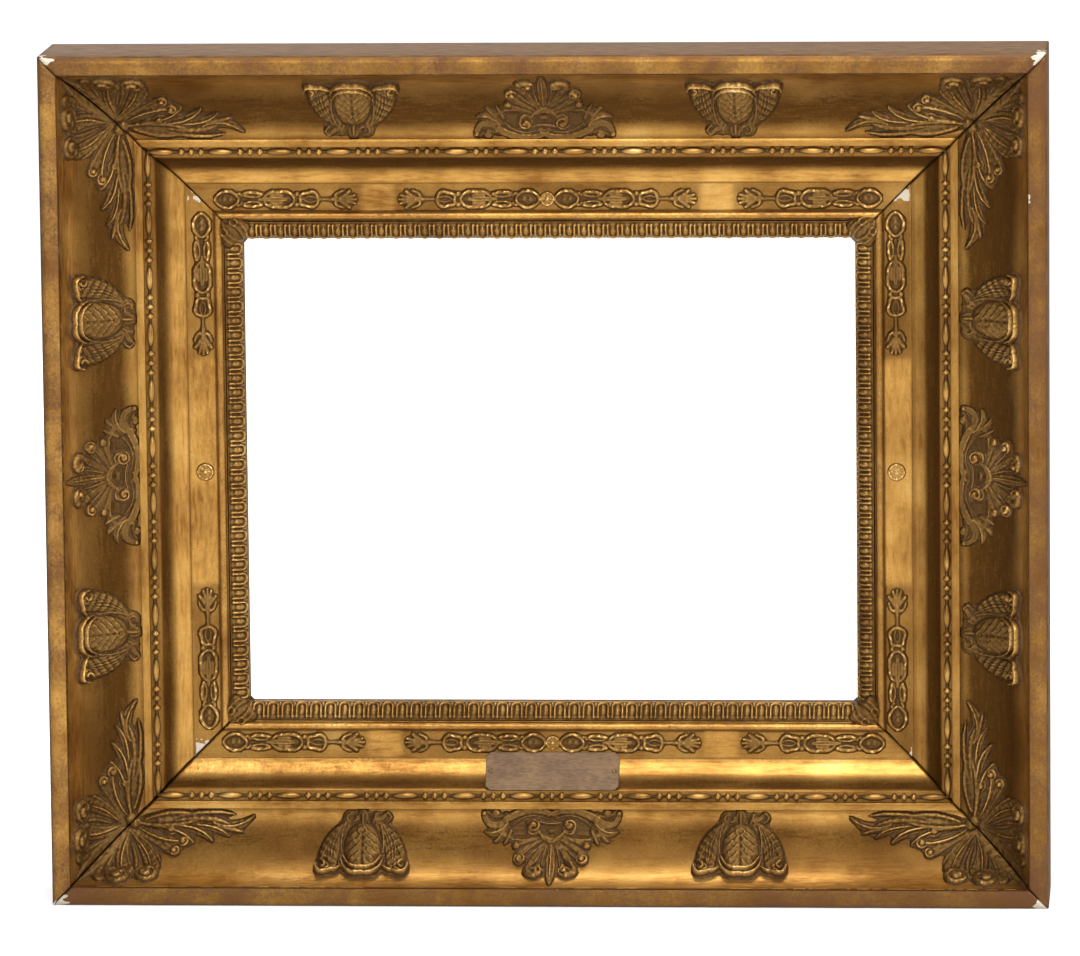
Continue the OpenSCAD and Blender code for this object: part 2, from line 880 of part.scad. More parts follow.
module title_plate() {
    color("#8a7350")
        on_rail(0)
            difference() {
                on_plate()
                    linear_extrude(plate_t)
                        translate([0, plate_w / 2])
                            polygon([
                                [-plate_l / 2, plate_clip - plate_w / 2],
                                [plate_clip - plate_l / 2, -plate_w / 2],
                                [plate_l / 2 - plate_clip, -plate_w / 2],
                                [plate_l / 2, plate_clip - plate_w / 2],
                                [plate_l / 2, plate_w / 2 - plate_clip],
                                [plate_l / 2 - plate_clip, plate_w / 2],
                                [plate_clip - plate_l / 2, plate_w / 2],
                                [-plate_l / 2, plate_w / 2 - plate_clip]
                            ]);
                plate_pins_at()
                    cylinder(r = pin_r + seat_fit, h = pin_l, center = true);
            }
}

module title_plate_pins() {
    color("#5e4a2c")
        on_rail(0)
            plate_pins_at() {
                translate([0, 0, plate_t - pin_l / 2])
                    cylinder(r = pin_r, h = pin_l / 2);
                translate([0, 0, plate_t])
                    cylinder(r1 = pin_head_r, r2 = pin_r, h = pin_head_h);
            }
}

// Hangers on the back of the side rails
module at_hanger(side) {
    on_rail(side)
        translate([along(side, hanger_s), strap_u, 0])
            mirror([side == 1 ? 0 : 1, 0, 0])
                children();
}

module hanger_strap(side) {
    color("#8c8578")
        at_hanger(side)
            difference() {
                union() {
                    translate([-strap_l, -strap_w / 2, back_recess - strap_t])
                        cube([strap_l, strap_w, strap_t]);
                    translate([0, 0, eye_h])
                        rotate([90, 0, 0])
                            cylinder(r = eye_r, h = strap_w, center = true);
                }
                translate([0, 0, eye_h])
                    rotate([90, 0, 0])
                        cylinder(r = wire_r + turn_fit, h = strap_w + cut_past, center = true);
                for (share = strap_screw_shares)
                    translate([-share * strap_l, 0, back_recess - strap_t - cut_past])
                        cylinder(r = strap_screw_r + seat_fit, h = strap_t + 2 * cut_past);
            }
}

module hanger_ring(side) {
    color("#9d978b")
        at_hanger(side)
            translate([0, 0, eye_h]) {
                rotate([90, 0, 0])
                    cylinder(r = wire_r, h = 2 * ring_r + wire_r, center = true);
                rotate(90)
                    rotate_extrude(angle = 180)
                        translate([ring_r, 0])
                            circle(wire_r);
            }
}

head_r = 2.9;
head_h = 1.3;

module hanger_screws() {
    color("#6f6a60")
        for (side = [1, 3], share = strap_screw_shares)
            at_hanger(side)
                translate([-share * strap_l, 0, back_recess - strap_t]) {
                    cylinder(r = strap_screw_r, h = strap_screw_l);
                    translate([0, 0, -head_h])
                        cylinder(r1 = head_r * 0.7, r2 = head_r, h = head_h);
                }
}

// Turn buttons that hold the picture in the rebate
button_h = back_recess - thin_gap - button_t;

module turn_button(side) {
    color("#b18b3d")
        on_rail(side)
            translate([0, button_u, button_h])
                difference() {
                    linear_extrude(button_t) {
                        translate([button_reach - button_w / 2, 0])
                            circle(button_w / 2);
                        translate([-button_tail + button_w / 2, 0])
                            circle(button_w / 2);
                        translate([-button_tail + button_w / 2, -button_w / 2])
                            square([button_reach + button_tail - button_w, button_w]);
                    }
                    translate([0, 0, -cut_past])
                        cylinder(r = button_screw_r + turn_fit, h = button_t + 2 * cut_past);
                }
}

button_head_r = 3.9;
button_head_h = 1.5;

module turn_button_screws() {
    color("#77705f")
        for (side = [0:3])
            on_rail(side)
                translate([0, button_u, 0]) {
                    translate([0, 0, button_h - thin_gap])
                        cylinder(r = button_screw_r, h = back_recess - button_h + button_hole_l);
                    translate([0, 0, button_h - thin_gap - button_head_h])
                        cylinder(r1 = button_head_r * 0.72, r2 = button_head_r, h = button_head_h);
                }
}

hollow_rail(0);  // hollow_rail_bottom
hollow_rail(1);  // hollow_rail_right
hollow_rail(2);  // hollow_rail_top
hollow_rail(3);  // hollow_rail_left
frieze_rail(0);  // frieze_rail_bottom
frieze_rail(1);  // frieze_rail_right
frieze_rail(2);  // frieze_rail_top
frieze_rail(3);  // frieze_rail_left
mitre_keys();
bead_strip(0);  // bead_strip_bottom
bead_strip(1);  // bead_strip_right
bead_strip(2);  // bead_strip_top
bead_strip(3);  // bead_strip_left
sight_strip(0);  // sight_strip_bottom
sight_strip(1);  // sight_strip_right
sight_strip(2);  // sight_strip_top
sight_strip(3);  // sight_strip_left
sight_leaf(0);  // sight_leaf_bottom_right
sight_leaf(1);  // sight_leaf_top_right
sight_leaf(2);  // sight_leaf_top_left
sight_leaf(3);  // sight_leaf_bottom_left
corner_palmette(0);  // corner_palmette_bottom_right
corner_palmette(1);  // corner_palmette_top_right
corner_palmette(2);  // corner_palmette_top_left
corner_palmette(3);  // corner_palmette_bottom_left
centre_palmette(0);  // centre_palmette_bottom
centre_palmette(1);  // centre_palmette_right
centre_palmette(2);  // centre_palmette_top
centre_palmette(3);  // centre_palmette_left
rose(0, -rose_long);  // rose_bottom_left
rose(0, rose_long);  // rose_bottom_right
rose(1, -rose_short);  // rose_right_lower
rose(1, rose_short);  // rose_right_upper
rose(2, -rose_long);  // rose_top_right
rose(2, rose_long);  // rose_top_left
rose(3, -rose_short);  // rose_left_upper
rose(3, rose_short);  // rose_left_lower
end_scrolls(0);  // end_scrolls_bottom
end_scrolls(1);  // end_scrolls_right
end_scrolls(2);  // end_scrolls_top
end_scrolls(3);  // end_scrolls_left
centre_scroll(0);  // centre_scroll_bottom
centre_scroll(2);  // centre_scroll_top
frieze_rosette(3);  // frieze_rosette_left
frieze_rosette(1);  // frieze_rosette_right
title_plate();
title_plate_pins();
hanger_strap(3);  // hanger_strap_left
hanger_strap(1);  // hanger_strap_right
hanger_ring(3);  // hanger_ring_left
hanger_ring(1);  // hanger_ring_right
hanger_screws();
turn_button(0);  // turn_button_bottom
turn_button(1);  // turn_button_right
turn_button(2);  // turn_button_top
turn_button(3);  // turn_button_left
turn_button_screws();
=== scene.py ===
import bpy, bmesh, math
import numpy as np
from mathutils import Matrix, Vector, noise


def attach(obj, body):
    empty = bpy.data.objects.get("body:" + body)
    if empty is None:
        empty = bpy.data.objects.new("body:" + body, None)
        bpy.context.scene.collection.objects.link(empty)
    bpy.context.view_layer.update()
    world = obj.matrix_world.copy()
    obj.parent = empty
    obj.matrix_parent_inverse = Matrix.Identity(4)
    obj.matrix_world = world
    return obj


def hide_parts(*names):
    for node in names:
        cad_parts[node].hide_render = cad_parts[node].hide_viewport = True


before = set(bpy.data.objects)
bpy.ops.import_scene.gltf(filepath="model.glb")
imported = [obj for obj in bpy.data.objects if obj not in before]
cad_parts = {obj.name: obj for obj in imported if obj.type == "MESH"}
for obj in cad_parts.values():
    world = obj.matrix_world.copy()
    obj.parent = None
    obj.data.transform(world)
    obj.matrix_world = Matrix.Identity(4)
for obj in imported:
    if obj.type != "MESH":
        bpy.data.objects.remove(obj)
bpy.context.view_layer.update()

# Outer members: four lengths of softwood with a flat band, a deep hollow and a fillet, mitred and
# keyed at the corners. They are coated with gesso and bole, and gilded with leaf that has been
# toned down; the leaf is rubbed through to the bole on the band, and the gesso has chipped.
SIDES = ("bottom", "right", "top", "left")
WIDTH, HEIGHT, DEPTH = 662.0, 567.0, 85.0
MM, MITRE_GAP, STEP = 0.001, 0.5, 2.6
BAND_ROUND, BAND_IN, FILLET_OUT, FILLET_IN, OUTER_IN = 4.5, 12.2, 59.2, 64.1, 71
FILLET_TOP, HOLLOW_END, CHANNEL_FLOOR = 46.4, 43.6, 43.0
HOLLOW_MID, HOLLOW_R, HOLLOW_GIRTH = (64.2, 96.37), 53.0, 65.2
HOLLOW_START = math.atan2(HOLLOW_END - HOLLOW_MID[1], FILLET_OUT - HOLLOW_MID[0])
# how far the roses lie from the middle of each side
ROSES = (126.0, 105.0, 126.0, 105.0)
# how far the mitres have opened at the bottom right, top right, top left and bottom left
CRACK = (0.5, 0.3, 0.2, 1.0)
# the wax on the band of each side with painted shade that differs by side, and how much more painted shade
# than the common amount there is in its hollow, and on its fillet, cove and bar, most on the right and top
# rails; a value of BARE is bare wood
BAND_WAX_AND_SHADE = (0.7, 0.62, 0.55, 0.25)
HOLLOW_SIDE_SHADE = (-0.1, 0.36, 0.06, 0.08)
FRONT_SIDE_SHADE = (0.12, 0.85, 0.5, 0.12)
BARE = 1.3
# wax and painted shade across the hollow, by the distance from the fillet: darkest low down, and a painted
# highlight below the band
HOLLOW_WAX_AND_SHADE = ((0, 0.9), (1.2, 0.45), (4, 0.28), (8, 0.6), (12, 0.88), (16, 0.98), (22, 0.94), (28, 0.84),
              (34, 0.72), (40, 0.56), (46, 0.3), (51, -0.05), (56, -0.4), (61, -0.4), (64, -0.1), (65.2, 0.8))


def half_of(side):
    return (WIDTH, HEIGHT)[side % 2] / 2


def rail_matrix(side):
    """Takes a rail's millimetres to the frame's metres. They are s along it from its middle, u inwards
    from its outer side, and h forwards from the wall."""
    return (Matrix.Scale(MM, 4)
            @ Matrix.Translation((0, DEPTH / 2, HEIGHT / 2))
            @ Matrix.Rotation(math.pi / 2, 4, "X")
            @ Matrix.Rotation(math.pi / 2 * side, 4, "Z")
            @ Matrix.Translation((0, -half_of(side + 1), 0)))


def cross_section(bm, path, soften):
    """Draws a closed section. A step of two numbers is a corner, and (centre, angle, steps) an arc."""
    corners = [bm.verts.new((0, *path[0]))]
    last = corners[0]
    for step in path[1:]:
        if len(step) == 2:
            new = bm.verts.new((0, *step))
            bm.edges.new((last, new))
            corners.append(new)
            last = new
        else:
            centre, angle, steps = step
            last = bmesh.ops.spin(bm, geom=[last], cent=(0, *centre), axis=(1, 0, 0), angle=angle,
                                  steps=steps)["geom_last"][0]
    bm.edges.new((last, corners[0]))
    bmesh.ops.bevel(bm, geom=corners, offset=soften, affect="VERTICES", segments=2, profile=0.5,
                    material=-1, clamp_overlap=True)


def move(bm, matrix):
    bmesh.ops.transform(bm, matrix=matrix, verts=bm.verts)


def face_outwards(bm):
    bmesh.ops.recalc_face_normals(bm, faces=bm.faces)


def verts_in(geom):
    return [v for v in geom if isinstance(v, bmesh.types.BMVert)]


def cap(bm):
    """Closes the open ends of a piece and turns its faces outwards."""
    bmesh.ops.holes_fill(bm, edges=[e for e in bm.edges if e.is_boundary], sides=0)
    face_outwards(bm)


def run_out(bm, side):
    """Runs the section along its rail in steps of STEP, and cuts both ends to the mitre."""
    half = half_of(side) - MITRE_GAP / math.sqrt(2)
    new = bmesh.ops.extrude_edge_only(bm, edges=bm.edges[:])["geom"]
    bmesh.ops.translate(bm, vec=(2 * half, 0, 0), verts=verts_in(new))
    bmesh.ops.translate(bm, vec=(-half, 0, 0), verts=bm.verts)
    lengthwise = [e for e in bm.edges if abs(e.verts[0].co.x - e.verts[1].co.x) > half]
    bmesh.ops.subdivide_edges(bm, edges=lengthwise, cuts=round(2 * half / STEP), use_grid_fill=True)
    for v in bm.verts:
        at_end = abs(abs(v.co.x) - half) < 0.01
        v.co.x *= (half - v.co.y) / half
        if at_end:
            # the mitre has dried open in front, wider in some places than in others
            way = math.copysign(1, v.co.x)
            rough = abs(noise.noise(Vector((v.co.y / 5, v.co.z / 5, side * 3 + 9 * way))))
            opening = CRACK[(side - (v.co.x < 0)) % 4]
            v.co.x -= way * ((0.15 + 2.6 * rough) * opening * min(1, max(0, v.co.z - 2) / 10))
    cap(bm)


def smooth(low, high, value):
    share = np.clip((np.asarray(value, float) - low) / (high - low), 0, 1)
    return share * share * (3 - 2 * share)


def grain(points, size, seed=0.0):
    """Smooth noise from -1 to 1 at each point, with lumps of that size in millimetres."""
    return np.array([noise.noise(Vector((p[0], p[1], p[2])) / size + Vector((seed, seed, seed)))
                     for p in points]) * 1.6


def points_of(bm):
    return np.array([v.co[:] for v in bm.verts])


def mesh_of(bm, name):
    """Turns a bmesh into a mesh, and lets it go."""
    mesh = bpy.data.meshes.new(name)
    bm.to_mesh(mesh)
    bm.free()
    return mesh


def put(name, data):
    """Makes an object of a mesh, lamp or camera and puts it in the scene."""
    made = bpy.data.objects.new(name, data)
    bpy.context.collection.objects.link(made)
    return made


def finish_piece(bm, name, side, material, nodes, tone_and_shade, rubbed, chipped=0.0, slot="gilded_composition",
                 shift=0.0):
    """Makes the object, with its wear kept point by point, and puts it on the rail for good. The
    pattern along the rail starts at shift, so that no two pieces have the same streaks."""
    count = len(bm.verts)
    if slot == "gilded_composition":
        tone_and_shade = np.minimum(tone_and_shade, 1)
    run = bm.loops.layers.uv.new("run")
    for face in bm.faces:
        face.smooth = True
        for loop in face.loops:
            p = loop.vert.co
            loop[run].uv = (p.x * MM + shift, (p.y - p.z) * MM + 3 * shift)
    move(bm, rail_matrix(side))
    mesh = mesh_of(bm, name)
    for key, value in (("tone_and_shade", tone_and_shade), ("rubbed", rubbed), ("chipped", chipped)):
        layer = mesh.attributes.new(key, "FLOAT", "POINT")
        layer.data.foreach_set("value", np.broadcast_to(np.asarray(value, np.float32), (count,)).copy())
    mesh.materials.append(material)
    piece = put(name, mesh)
    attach(piece, "frame")
    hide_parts(*nodes)
    return piece


def linear(hex_colour):
    """An sRGB colour written #RRGGBB as the linear colour that a shader takes."""
    parts = [int(hex_colour[i:i + 2], 16) / 255 for i in (1, 3, 5)]
    return (*[c / 12.92 if c <= 0.04045 else ((c + 0.055) / 1.055) ** 2.4 for c in parts], 1.0)


def wire(tree, node, sockets):
    """Sets each socket of a node to its value, or links it where that is another node's output."""
    for key, value in dict(sockets).items():
        if isinstance(value, bpy.types.NodeSocket):
            tree.links.new(value, node.inputs[key])
        else:
            node.inputs[key].default_value = value


def add(tree, kind, sockets=(), stops=(), out=0, **settings):
    """Adds one shader node with its settings, links and colour stops, and gives its output."""
    node = tree.nodes.new("ShaderNode" + kind)
    for key, value in settings.items():
        setattr(node, key, value)
    wire(tree, node, sockets)
    for i, (place, colour) in enumerate(stops):
        element = node.color_ramp.elements[i] if i < 2 else node.color_ramp.elements.new(place)
        element.position = place
        element.color = colour
    return node.outputs[out]


def new_material(name):
    material = bpy.data.materials.new(name)
    material.use_nodes = True
    tree = material.node_tree
    return material, tree, tree.nodes["Principled BSDF"]


def gilding(name, pale, bright, mid, toning, tone_share, rub_share):
    """Toned gold leaf on red bole over white gesso, which gleams softly and is brown in its depths:
    broad patches of tone, streaks along the rail, dark wax and painted shade in the recesses, paler leaf that
    is partly kept clean by handling and partly a painted highlight, bole where the leaf is rubbed, gesso
    where it has chipped, and plain old wood where it was never gilded."""
    material, tree, shader = new_material(name)
    place = add(tree, "TexCoord", out="Object")
    run = add(tree, "UVMap", uv_map="run")
    long_way = add(tree, "Mapping", {"Vector": run, "Scale": (0.2, 1, 1)})
    tone_and_shade, rubbed, chipped = [add(tree, "Attribute", out="Fac", attribute_name=key)
                              for key in ("tone_and_shade", "rubbed", "chipped")]
    # patches 40 mm wide, streaks 3 mm wide and specks 1.5 mm wide
    patch = add(tree, "TexNoise", {"Vector": place, "Scale": 25, "Detail": 4})
    streak = add(tree, "TexNoise", {"Vector": long_way, "Scale": 330, "Detail": 5, "Roughness": 0.66})
    speck = add(tree, "TexNoise", {"Vector": place, "Scale": 620, "Detail": 3, "Roughness": 0.65})
    # a point value below zero is paler leaf: kept clean by handling on rubbed arrises, crests, bar and
    # frieze, and a painted highlight in the hollow below the band and in the cove beside the frieze
    paler_leaf = add(tree, "MapRange", {"Value": tone_and_shade, "From Min": 0.0, "From Max": -0.4, "To Max": 0.32})
    blend = add(tree, "Math", {0: patch, 1: streak}, operation="ADD")
    blend = add(tree, "Math", {0: blend, 1: 0.5, 2: paler_leaf}, operation="MULTIPLY_ADD")
    leaf = add(tree, "ValToRGB", {"Fac": blend}, stops=((0.38, linear(mid)), (0.56, linear(bright)),
                                                        (0.78, linear(pale))))
    # wax and painted shade lie where the point value says, broken up by the streaks and specks
    lift = add(tree, "Math", {0: speck, 1: 0.35, 2: tone_share - 0.5}, operation="MULTIPLY_ADD")
    lift = add(tree, "Math", {0: streak, 1: 0.65, 2: lift}, operation="MULTIPLY_ADD")
    wax_and_shade = add(tree, "Math", {0: tone_and_shade, 1: lift}, operation="ADD", use_clamp=True)
    waxed_and_shaded = add(tree, "Mix", {0: wax_and_shade, 6: leaf, 7: linear(toning)}, data_type="RGBA", out=2)
    # bole shows red-brown where the leaf has gone
    breakup = add(tree, "Math", {0: streak, 1: speck}, operation="ADD")
    worn = add(tree, "Math", {0: breakup, 1: 1.5, 2: rub_share - 1.6}, operation="MULTIPLY_ADD")
    worn = add(tree, "Math", {0: rubbed, 1: worn}, operation="ADD")
    bole = add(tree, "MapRange", {"Value": worn, "From Min": 0.1, "From Max": 1.0})
    boled = add(tree, "Mix", {0: bole, 6: waxed_and_shaded, 7: linear("#6C472A")}, data_type="RGBA", out=2)
    # a point value above one is bare wood at the sides and the back, brown with age and dust
    plain = add(tree, "MapRange", {"Value": tone_and_shade, "From Min": 1.05, "From Max": 1.2})
    wood = add(tree, "ValToRGB", {"Fac": streak}, stops=((0.36, linear("#4B351F")),
                                                         (0.66, linear("#7A5A39"))))
    boled = add(tree, "Mix", {0: plain, 6: boled, 7: wood}, data_type="RGBA", out=2)
    # gesso shows chalk-white in small sharp-edged chips
    flake = add(tree, "TexNoise", {"Vector": place, "Scale": 170, "Detail": 4})
    flake = add(tree, "Math", {0: flake, 1: 2.0, 2: -1.9}, operation="MULTIPLY_ADD")
    flake = add(tree, "Math", {0: chipped, 1: flake}, operation="ADD")
    chip = add(tree, "MapRange", {"Value": flake, "From Min": 0.30, "From Max": 0.36})
    colour = add(tree, "Mix", {0: chip, 6: boled, 7: linear("#DDD0BC")}, data_type="RGBA", out=2)
    dull = add(tree, "Math", {0: wax_and_shade, 1: bole}, operation="MAXIMUM")
    dull = add(tree, "Math", {0: dull, 1: chip}, operation="MAXIMUM")
    # wax is a clear brown glaze, so the leaf under it still shines like metal; bole and gesso do not
    bare = add(tree, "Math", {0: bole, 1: 0.6}, operation="MULTIPLY")
    bare = add(tree, "Math", {0: bare, 1: chip}, operation="MAXIMUM")
    bare = add(tree, "Math", {0: bare, 1: plain}, operation="MAXIMUM")
    metal = add(tree, "MapRange", {"Value": bare, "To Min": 0.8, "To Max": 0.0})
    rough = add(tree, "MapRange", {"Value": dull, "To Min": 0.31, "To Max": 0.56})
    rough = add(tree, "Math", {0: plain, 1: 0.3, 2: rough}, operation="MULTIPLY_ADD")
    fine = add(tree, "Math", {0: speck, 1: flake}, operation="ADD")
    bump = add(tree, "Bump", {"Strength": 0.3, "Distance": 0.0004, "Height": fine})
    wire(tree, shader, {"Base Color": colour, "Metallic": metal, "Roughness": rough, "Normal": bump,
                        "Specular IOR Level": 0.22})
    return material


gilded_wood = gilding("toned gold leaf on wood", "#E3BE77", "#C3934A", "#875A26", "#52340F", 0.0, 0.0)


def dirty_mitre(tone_and_shade, side, s, u):
    """Adds the dirt that has gone into the cracked mitres."""
    opened = np.where(s < 0, CRACK[side - 1], CRACK[side])
    crack = smooth(0.9, 0.2, half_of(side) - u - np.abs(s)) * (0.3 + 0.6 * opened)
    return np.maximum(tone_and_shade, np.minimum(crack * 1.3, 1))


for side, which in enumerate(SIDES):
    bm = bmesh.new()
    cross_section(bm, [
        (0, 0.15), (82, 0.15), (82, 18), (OUTER_IN, 18), (OUTER_IN, CHANNEL_FLOOR),
        (FILLET_IN, CHANNEL_FLOOR), (FILLET_IN, FILLET_TOP), (FILLET_OUT, FILLET_TOP),
        (FILLET_OUT, HOLLOW_END), (HOLLOW_MID, -HOLLOW_GIRTH / HOLLOW_R, 34), (12.8, 83.4),
        (BAND_IN, 83.4), (BAND_IN, DEPTH), (BAND_ROUND, DEPTH),
        ((BAND_ROUND, DEPTH - BAND_ROUND), math.pi / 2, 6)
    ], 0.45)
    run_out(bm, side)
    at = points_of(bm)
    s, u, h = at.T
    from_corner = half_of(side) - np.abs(s)
    wear = grain(at, 26, side) * 0.6 + grain(at, 7, side + 9) * 0.4
    # arrises of the band and the fillet are dented and worn by hand
    on_band = smooth(15, 11.5, u) * smooth(70, 84, h)
    arris = np.maximum(smooth(3.4, 0.4, np.abs(u - BAND_IN)) * on_band,
                       smooth(4.5, 1, u) * smooth(74, 84, h))
    fillet = smooth(1.2, 0.2, np.minimum(np.abs(u - 59.4), np.abs(u - 63.9))) * smooth(45.4, 46.3, h)
    dent = np.clip(wear - 0.12, 0, 1) * arris * 1.1
    dent += np.clip(wear - 0.15, 0, 1) * fillet * 0.5
    for v, d in zip(bm.verts, dent):
        v.co.z -= d
    in_hollow = smooth(12.5, 13, u) * smooth(59.4, 59, u) * smooth(40, 43, h)
    girth = (HOLLOW_START - np.arctan2(h - HOLLOW_MID[1], u - HOLLOW_MID[0])) % math.tau * HOLLOW_R
    depth = np.interp(girth, *zip(*HOLLOW_WAX_AND_SHADE))
    # the hollow is a little darker round the ornament, on its part nearer the fillet
    near = smooth(150, 120, from_corner)
    for centre, reach in ((0, 50), (ROSES[side], 33), (-ROSES[side], 33)):
        near = np.maximum(near, smooth(reach + 12, reach - 8, np.abs(s - centre)))
    drift = grain(at * (0.25, 1, 1), 12, side + 14) * 0.08
    # the hollow takes the table's wax and painted shade, drifts, the darker ring by the ornament, and over
    # most of its girth the painted shade of its side
    tone_and_shade = in_hollow * (depth + drift + near * smooth(56, 44, girth) * 0.06
                         + HOLLOW_SIDE_SHADE[side] * smooth(62, 56, girth))
    # painted shade: the quirk between the band and the hollow is drawn as a dark line
    quirk_shade = smooth(0.9, 0.3, np.abs(u - 12.5)) * smooth(84.8, 84, h)
    # the band takes its wax with painted shade that differs by side, and its wear
    tone_and_shade += quirk_shade + on_band * (BAND_WAX_AND_SHADE[side] + wear * 0.14)
    # painted shade in the channel behind the bead strip, beside the fillet
    channel_shade = smooth(63.8, 64.3, u) * smooth(71.5, 70.6, u)
    # the fillet's flat takes the painted shade of its side
    flat = smooth(59.2, 59.4, u) * smooth(64.1, 63.9, u) * smooth(44, 45.5, h)
    tone_and_shade += channel_shade * 0.95 + flat * FRONT_SIDE_SHADE[side] - fillet * 0.2
    # the outer side, the back and the rebate for the inner member were never gilded
    plain = np.maximum(smooth(3.6, 1.4, u) * smooth(84.4, 82.8, h), smooth(3, 1, h))
    plain = np.maximum(plain, smooth(70, 71, u) * smooth(42, 40, h))
    tone_and_shade = np.minimum(tone_and_shade, 1)
    tone_and_shade = np.where(plain > 0.3, np.maximum(tone_and_shade, BARE * plain), tone_and_shade)
    tone_and_shade = dirty_mitre(tone_and_shade, side, s, u)
    rubbed = (on_band * (0.5 + 0.5 * wear + 0.25 * smooth(60, 10, from_corner)) + arris * 0.2
              - in_hollow * 0.3)
    at_corner = smooth(17, 4, from_corner) * smooth(17, 6, u + 0.4 * from_corner) * smooth(70, 82, h)
    chipped = (arris * (0.5 + 0.9 * wear) * (1 - plain)
               + at_corner * (1.2 + 0.6 * wear) * (1 - 0.5 * (side % 2)))
    finish_piece(bm, "hollow_moulding_" + which, side, gilded_wood, ["hollow_rail_" + which],
                 tone_and_shade, rubbed, chipped, "gilded_wood", 0.37 * side)

# Inner members: four lengths with the cove, the flat frieze and an astragal, glued into the outer
# ones and rebated behind for the picture. The cove and the astragal are the brightest gilding, the cove with
# a painted highlight beside the frieze.
# wax and painted shade across the cove, by u: darkest below the bead strip, and a painted highlight beside
# the frieze
COVE_WAX_AND_SHADE = ((71, 0.5), (72, 0.74), (75, 0.86), (77, 0.72), (79, 0.4), (81, 0.0), (83, -0.45), (88, -0.5),
            (89.6, 0.0), (90.2, 0.7))
SCROLLS_TO, SCROLL_LONG = 110.1, 95
for side, which in enumerate(SIDES):
    bm = bmesh.new()
    cross_section(bm, [
        (71, 18), (82, 18), (82, 6), (120.5, 6), (120.5, 15), (128, 15), (128, 19.5), (115.7, 19.5),
        (115.7, 27.0), (114.7, 27.2), ((111.95, 27.4), math.pi * 0.98, 10), (109.2, 27.2), (108.6, 27.6),
        (107.2, 27.6), (104, 27.6), (100, 27.6), (96, 27.6), (92.2, 27.6), (90.4, 27.6),
        (90.4, 28.2), ((92.97, 52.06), -0.915, 14), (71, 42.4)
    ], 0.3)
    run_out(bm, side)
    at = points_of(bm)
    s, u, h = at.T
    wear = grain(at, 24, side + 3) * 0.6 + grain(at, 6, side + 5) * 0.4
    front = smooth(24, 27, h)
    in_cove = smooth(90.2, 89.4, u) * smooth(71.1, 72, u)
    frieze = smooth(90.6, 91.2, u) * smooth(109.4, 108.6, u)
    bar = smooth(108.9, 109.8, u) * smooth(115.4, 114.6, u) * front
    for v, d in zip(bm.verts, np.clip(wear - 0.2, 0, 1) * bar * 0.5):
        v.co.z -= d
    cove = np.interp(u, *zip(*COVE_WAX_AND_SHADE))
    drift = grain(at * (0.25, 1, 1), 12, side + 24) * 0.12
    # the frieze is darker where the scrolls lie and paler between them
    along = np.abs(s)
    ends = half_of(side) - SCROLLS_TO
    paler_leaf = smooth(ends - SCROLL_LONG, ends - (SCROLL_LONG + 6), along)
    if side % 2 == 0:
        paler_leaf = paler_leaf * smooth(99, 104, along)
    # the cove, frieze and bar take the painted shade of their side, with less of it on the top rail's cove
    # beside the frieze
    shade = FRONT_SIDE_SHADE[side] * (1 - 0.5 * smooth(83, 88, u) * (which == "top"))
    tone_and_shade = (in_cove * (cove + drift + shade) + (frieze * 0.3 + bar * 0.6) * FRONT_SIDE_SHADE[side]
             + frieze * (0.4 - 0.5 * paler_leaf + drift) + (1 - front) * BARE)
    # painted shade: dark lines where the frieze meets the cove and the bar, and a dark step beyond the bar
    # down to the strip's ledge; the bar itself is rubbed paler
    tone_and_shade += smooth(0.9, 0.2, np.minimum(np.abs(u - 90.4), np.abs(u - 108.9))) * 0.5
    tone_and_shade += smooth(114.7, 115.3, u) * 0.9 - bar * 0.25
    tone_and_shade = np.where(front > 0.5, np.minimum(tone_and_shade, 1), tone_and_shade)
    tone_and_shade = dirty_mitre(tone_and_shade, side, s, u)
    rubbed = bar * 0.3 + wear * 0.2 - in_cove * 0.15
    at_corner = smooth(107, 102, half_of(side) - along) * frieze
    chipped = at_corner * (1.3 + 0.5 * wear) * (side % 2) + bar * 0.5
    finish_piece(bm, "frieze_moulding_" + which, side, gilded_wood, ["frieze_rail_" + which],
                 tone_and_shade, rubbed, chipped, "gilded_wood", 0.41 * side + 5)

# Bead-and-reel strips: long spindles and groups of three beads between thin reels, pressed in
# composition as half rounds and laid in the channel beside the fillet. Toned darker than the rails.
composition = gilding("toned gold leaf on composition", "#E0BC7A", "#B98C4A", "#7E5829", "#4C351B",
                      0.03, -0.1)
BEADS_AT, CHANNEL, CHANNEL_WIDE = 67.55, 43.05, 6.9
REPEAT, SPINDLE = 42.7, 0.5


def turned_radius(share):
    """Radius of the turning at a share of one repeat: a spindle, then reels and beads in turn."""
    stem = 0.8
    if share < SPINDLE:
        swell = math.sin(math.pi * share / SPINDLE)
        collar = 0.6 if abs(share / SPINDLE - 0.5) > 0.462 else 0.0
        return stem + 1.65 * swell ** 0.95 + collar
    part = (share - SPINDLE) / (1 - SPINDLE) * 3
    across = abs(2 * (part - math.floor(part)) - 1)
    return 1.45 if across > 0.9 else max(stem, 2.8 * math.sqrt(max(0, 1 - (across / 0.62) ** 2)))


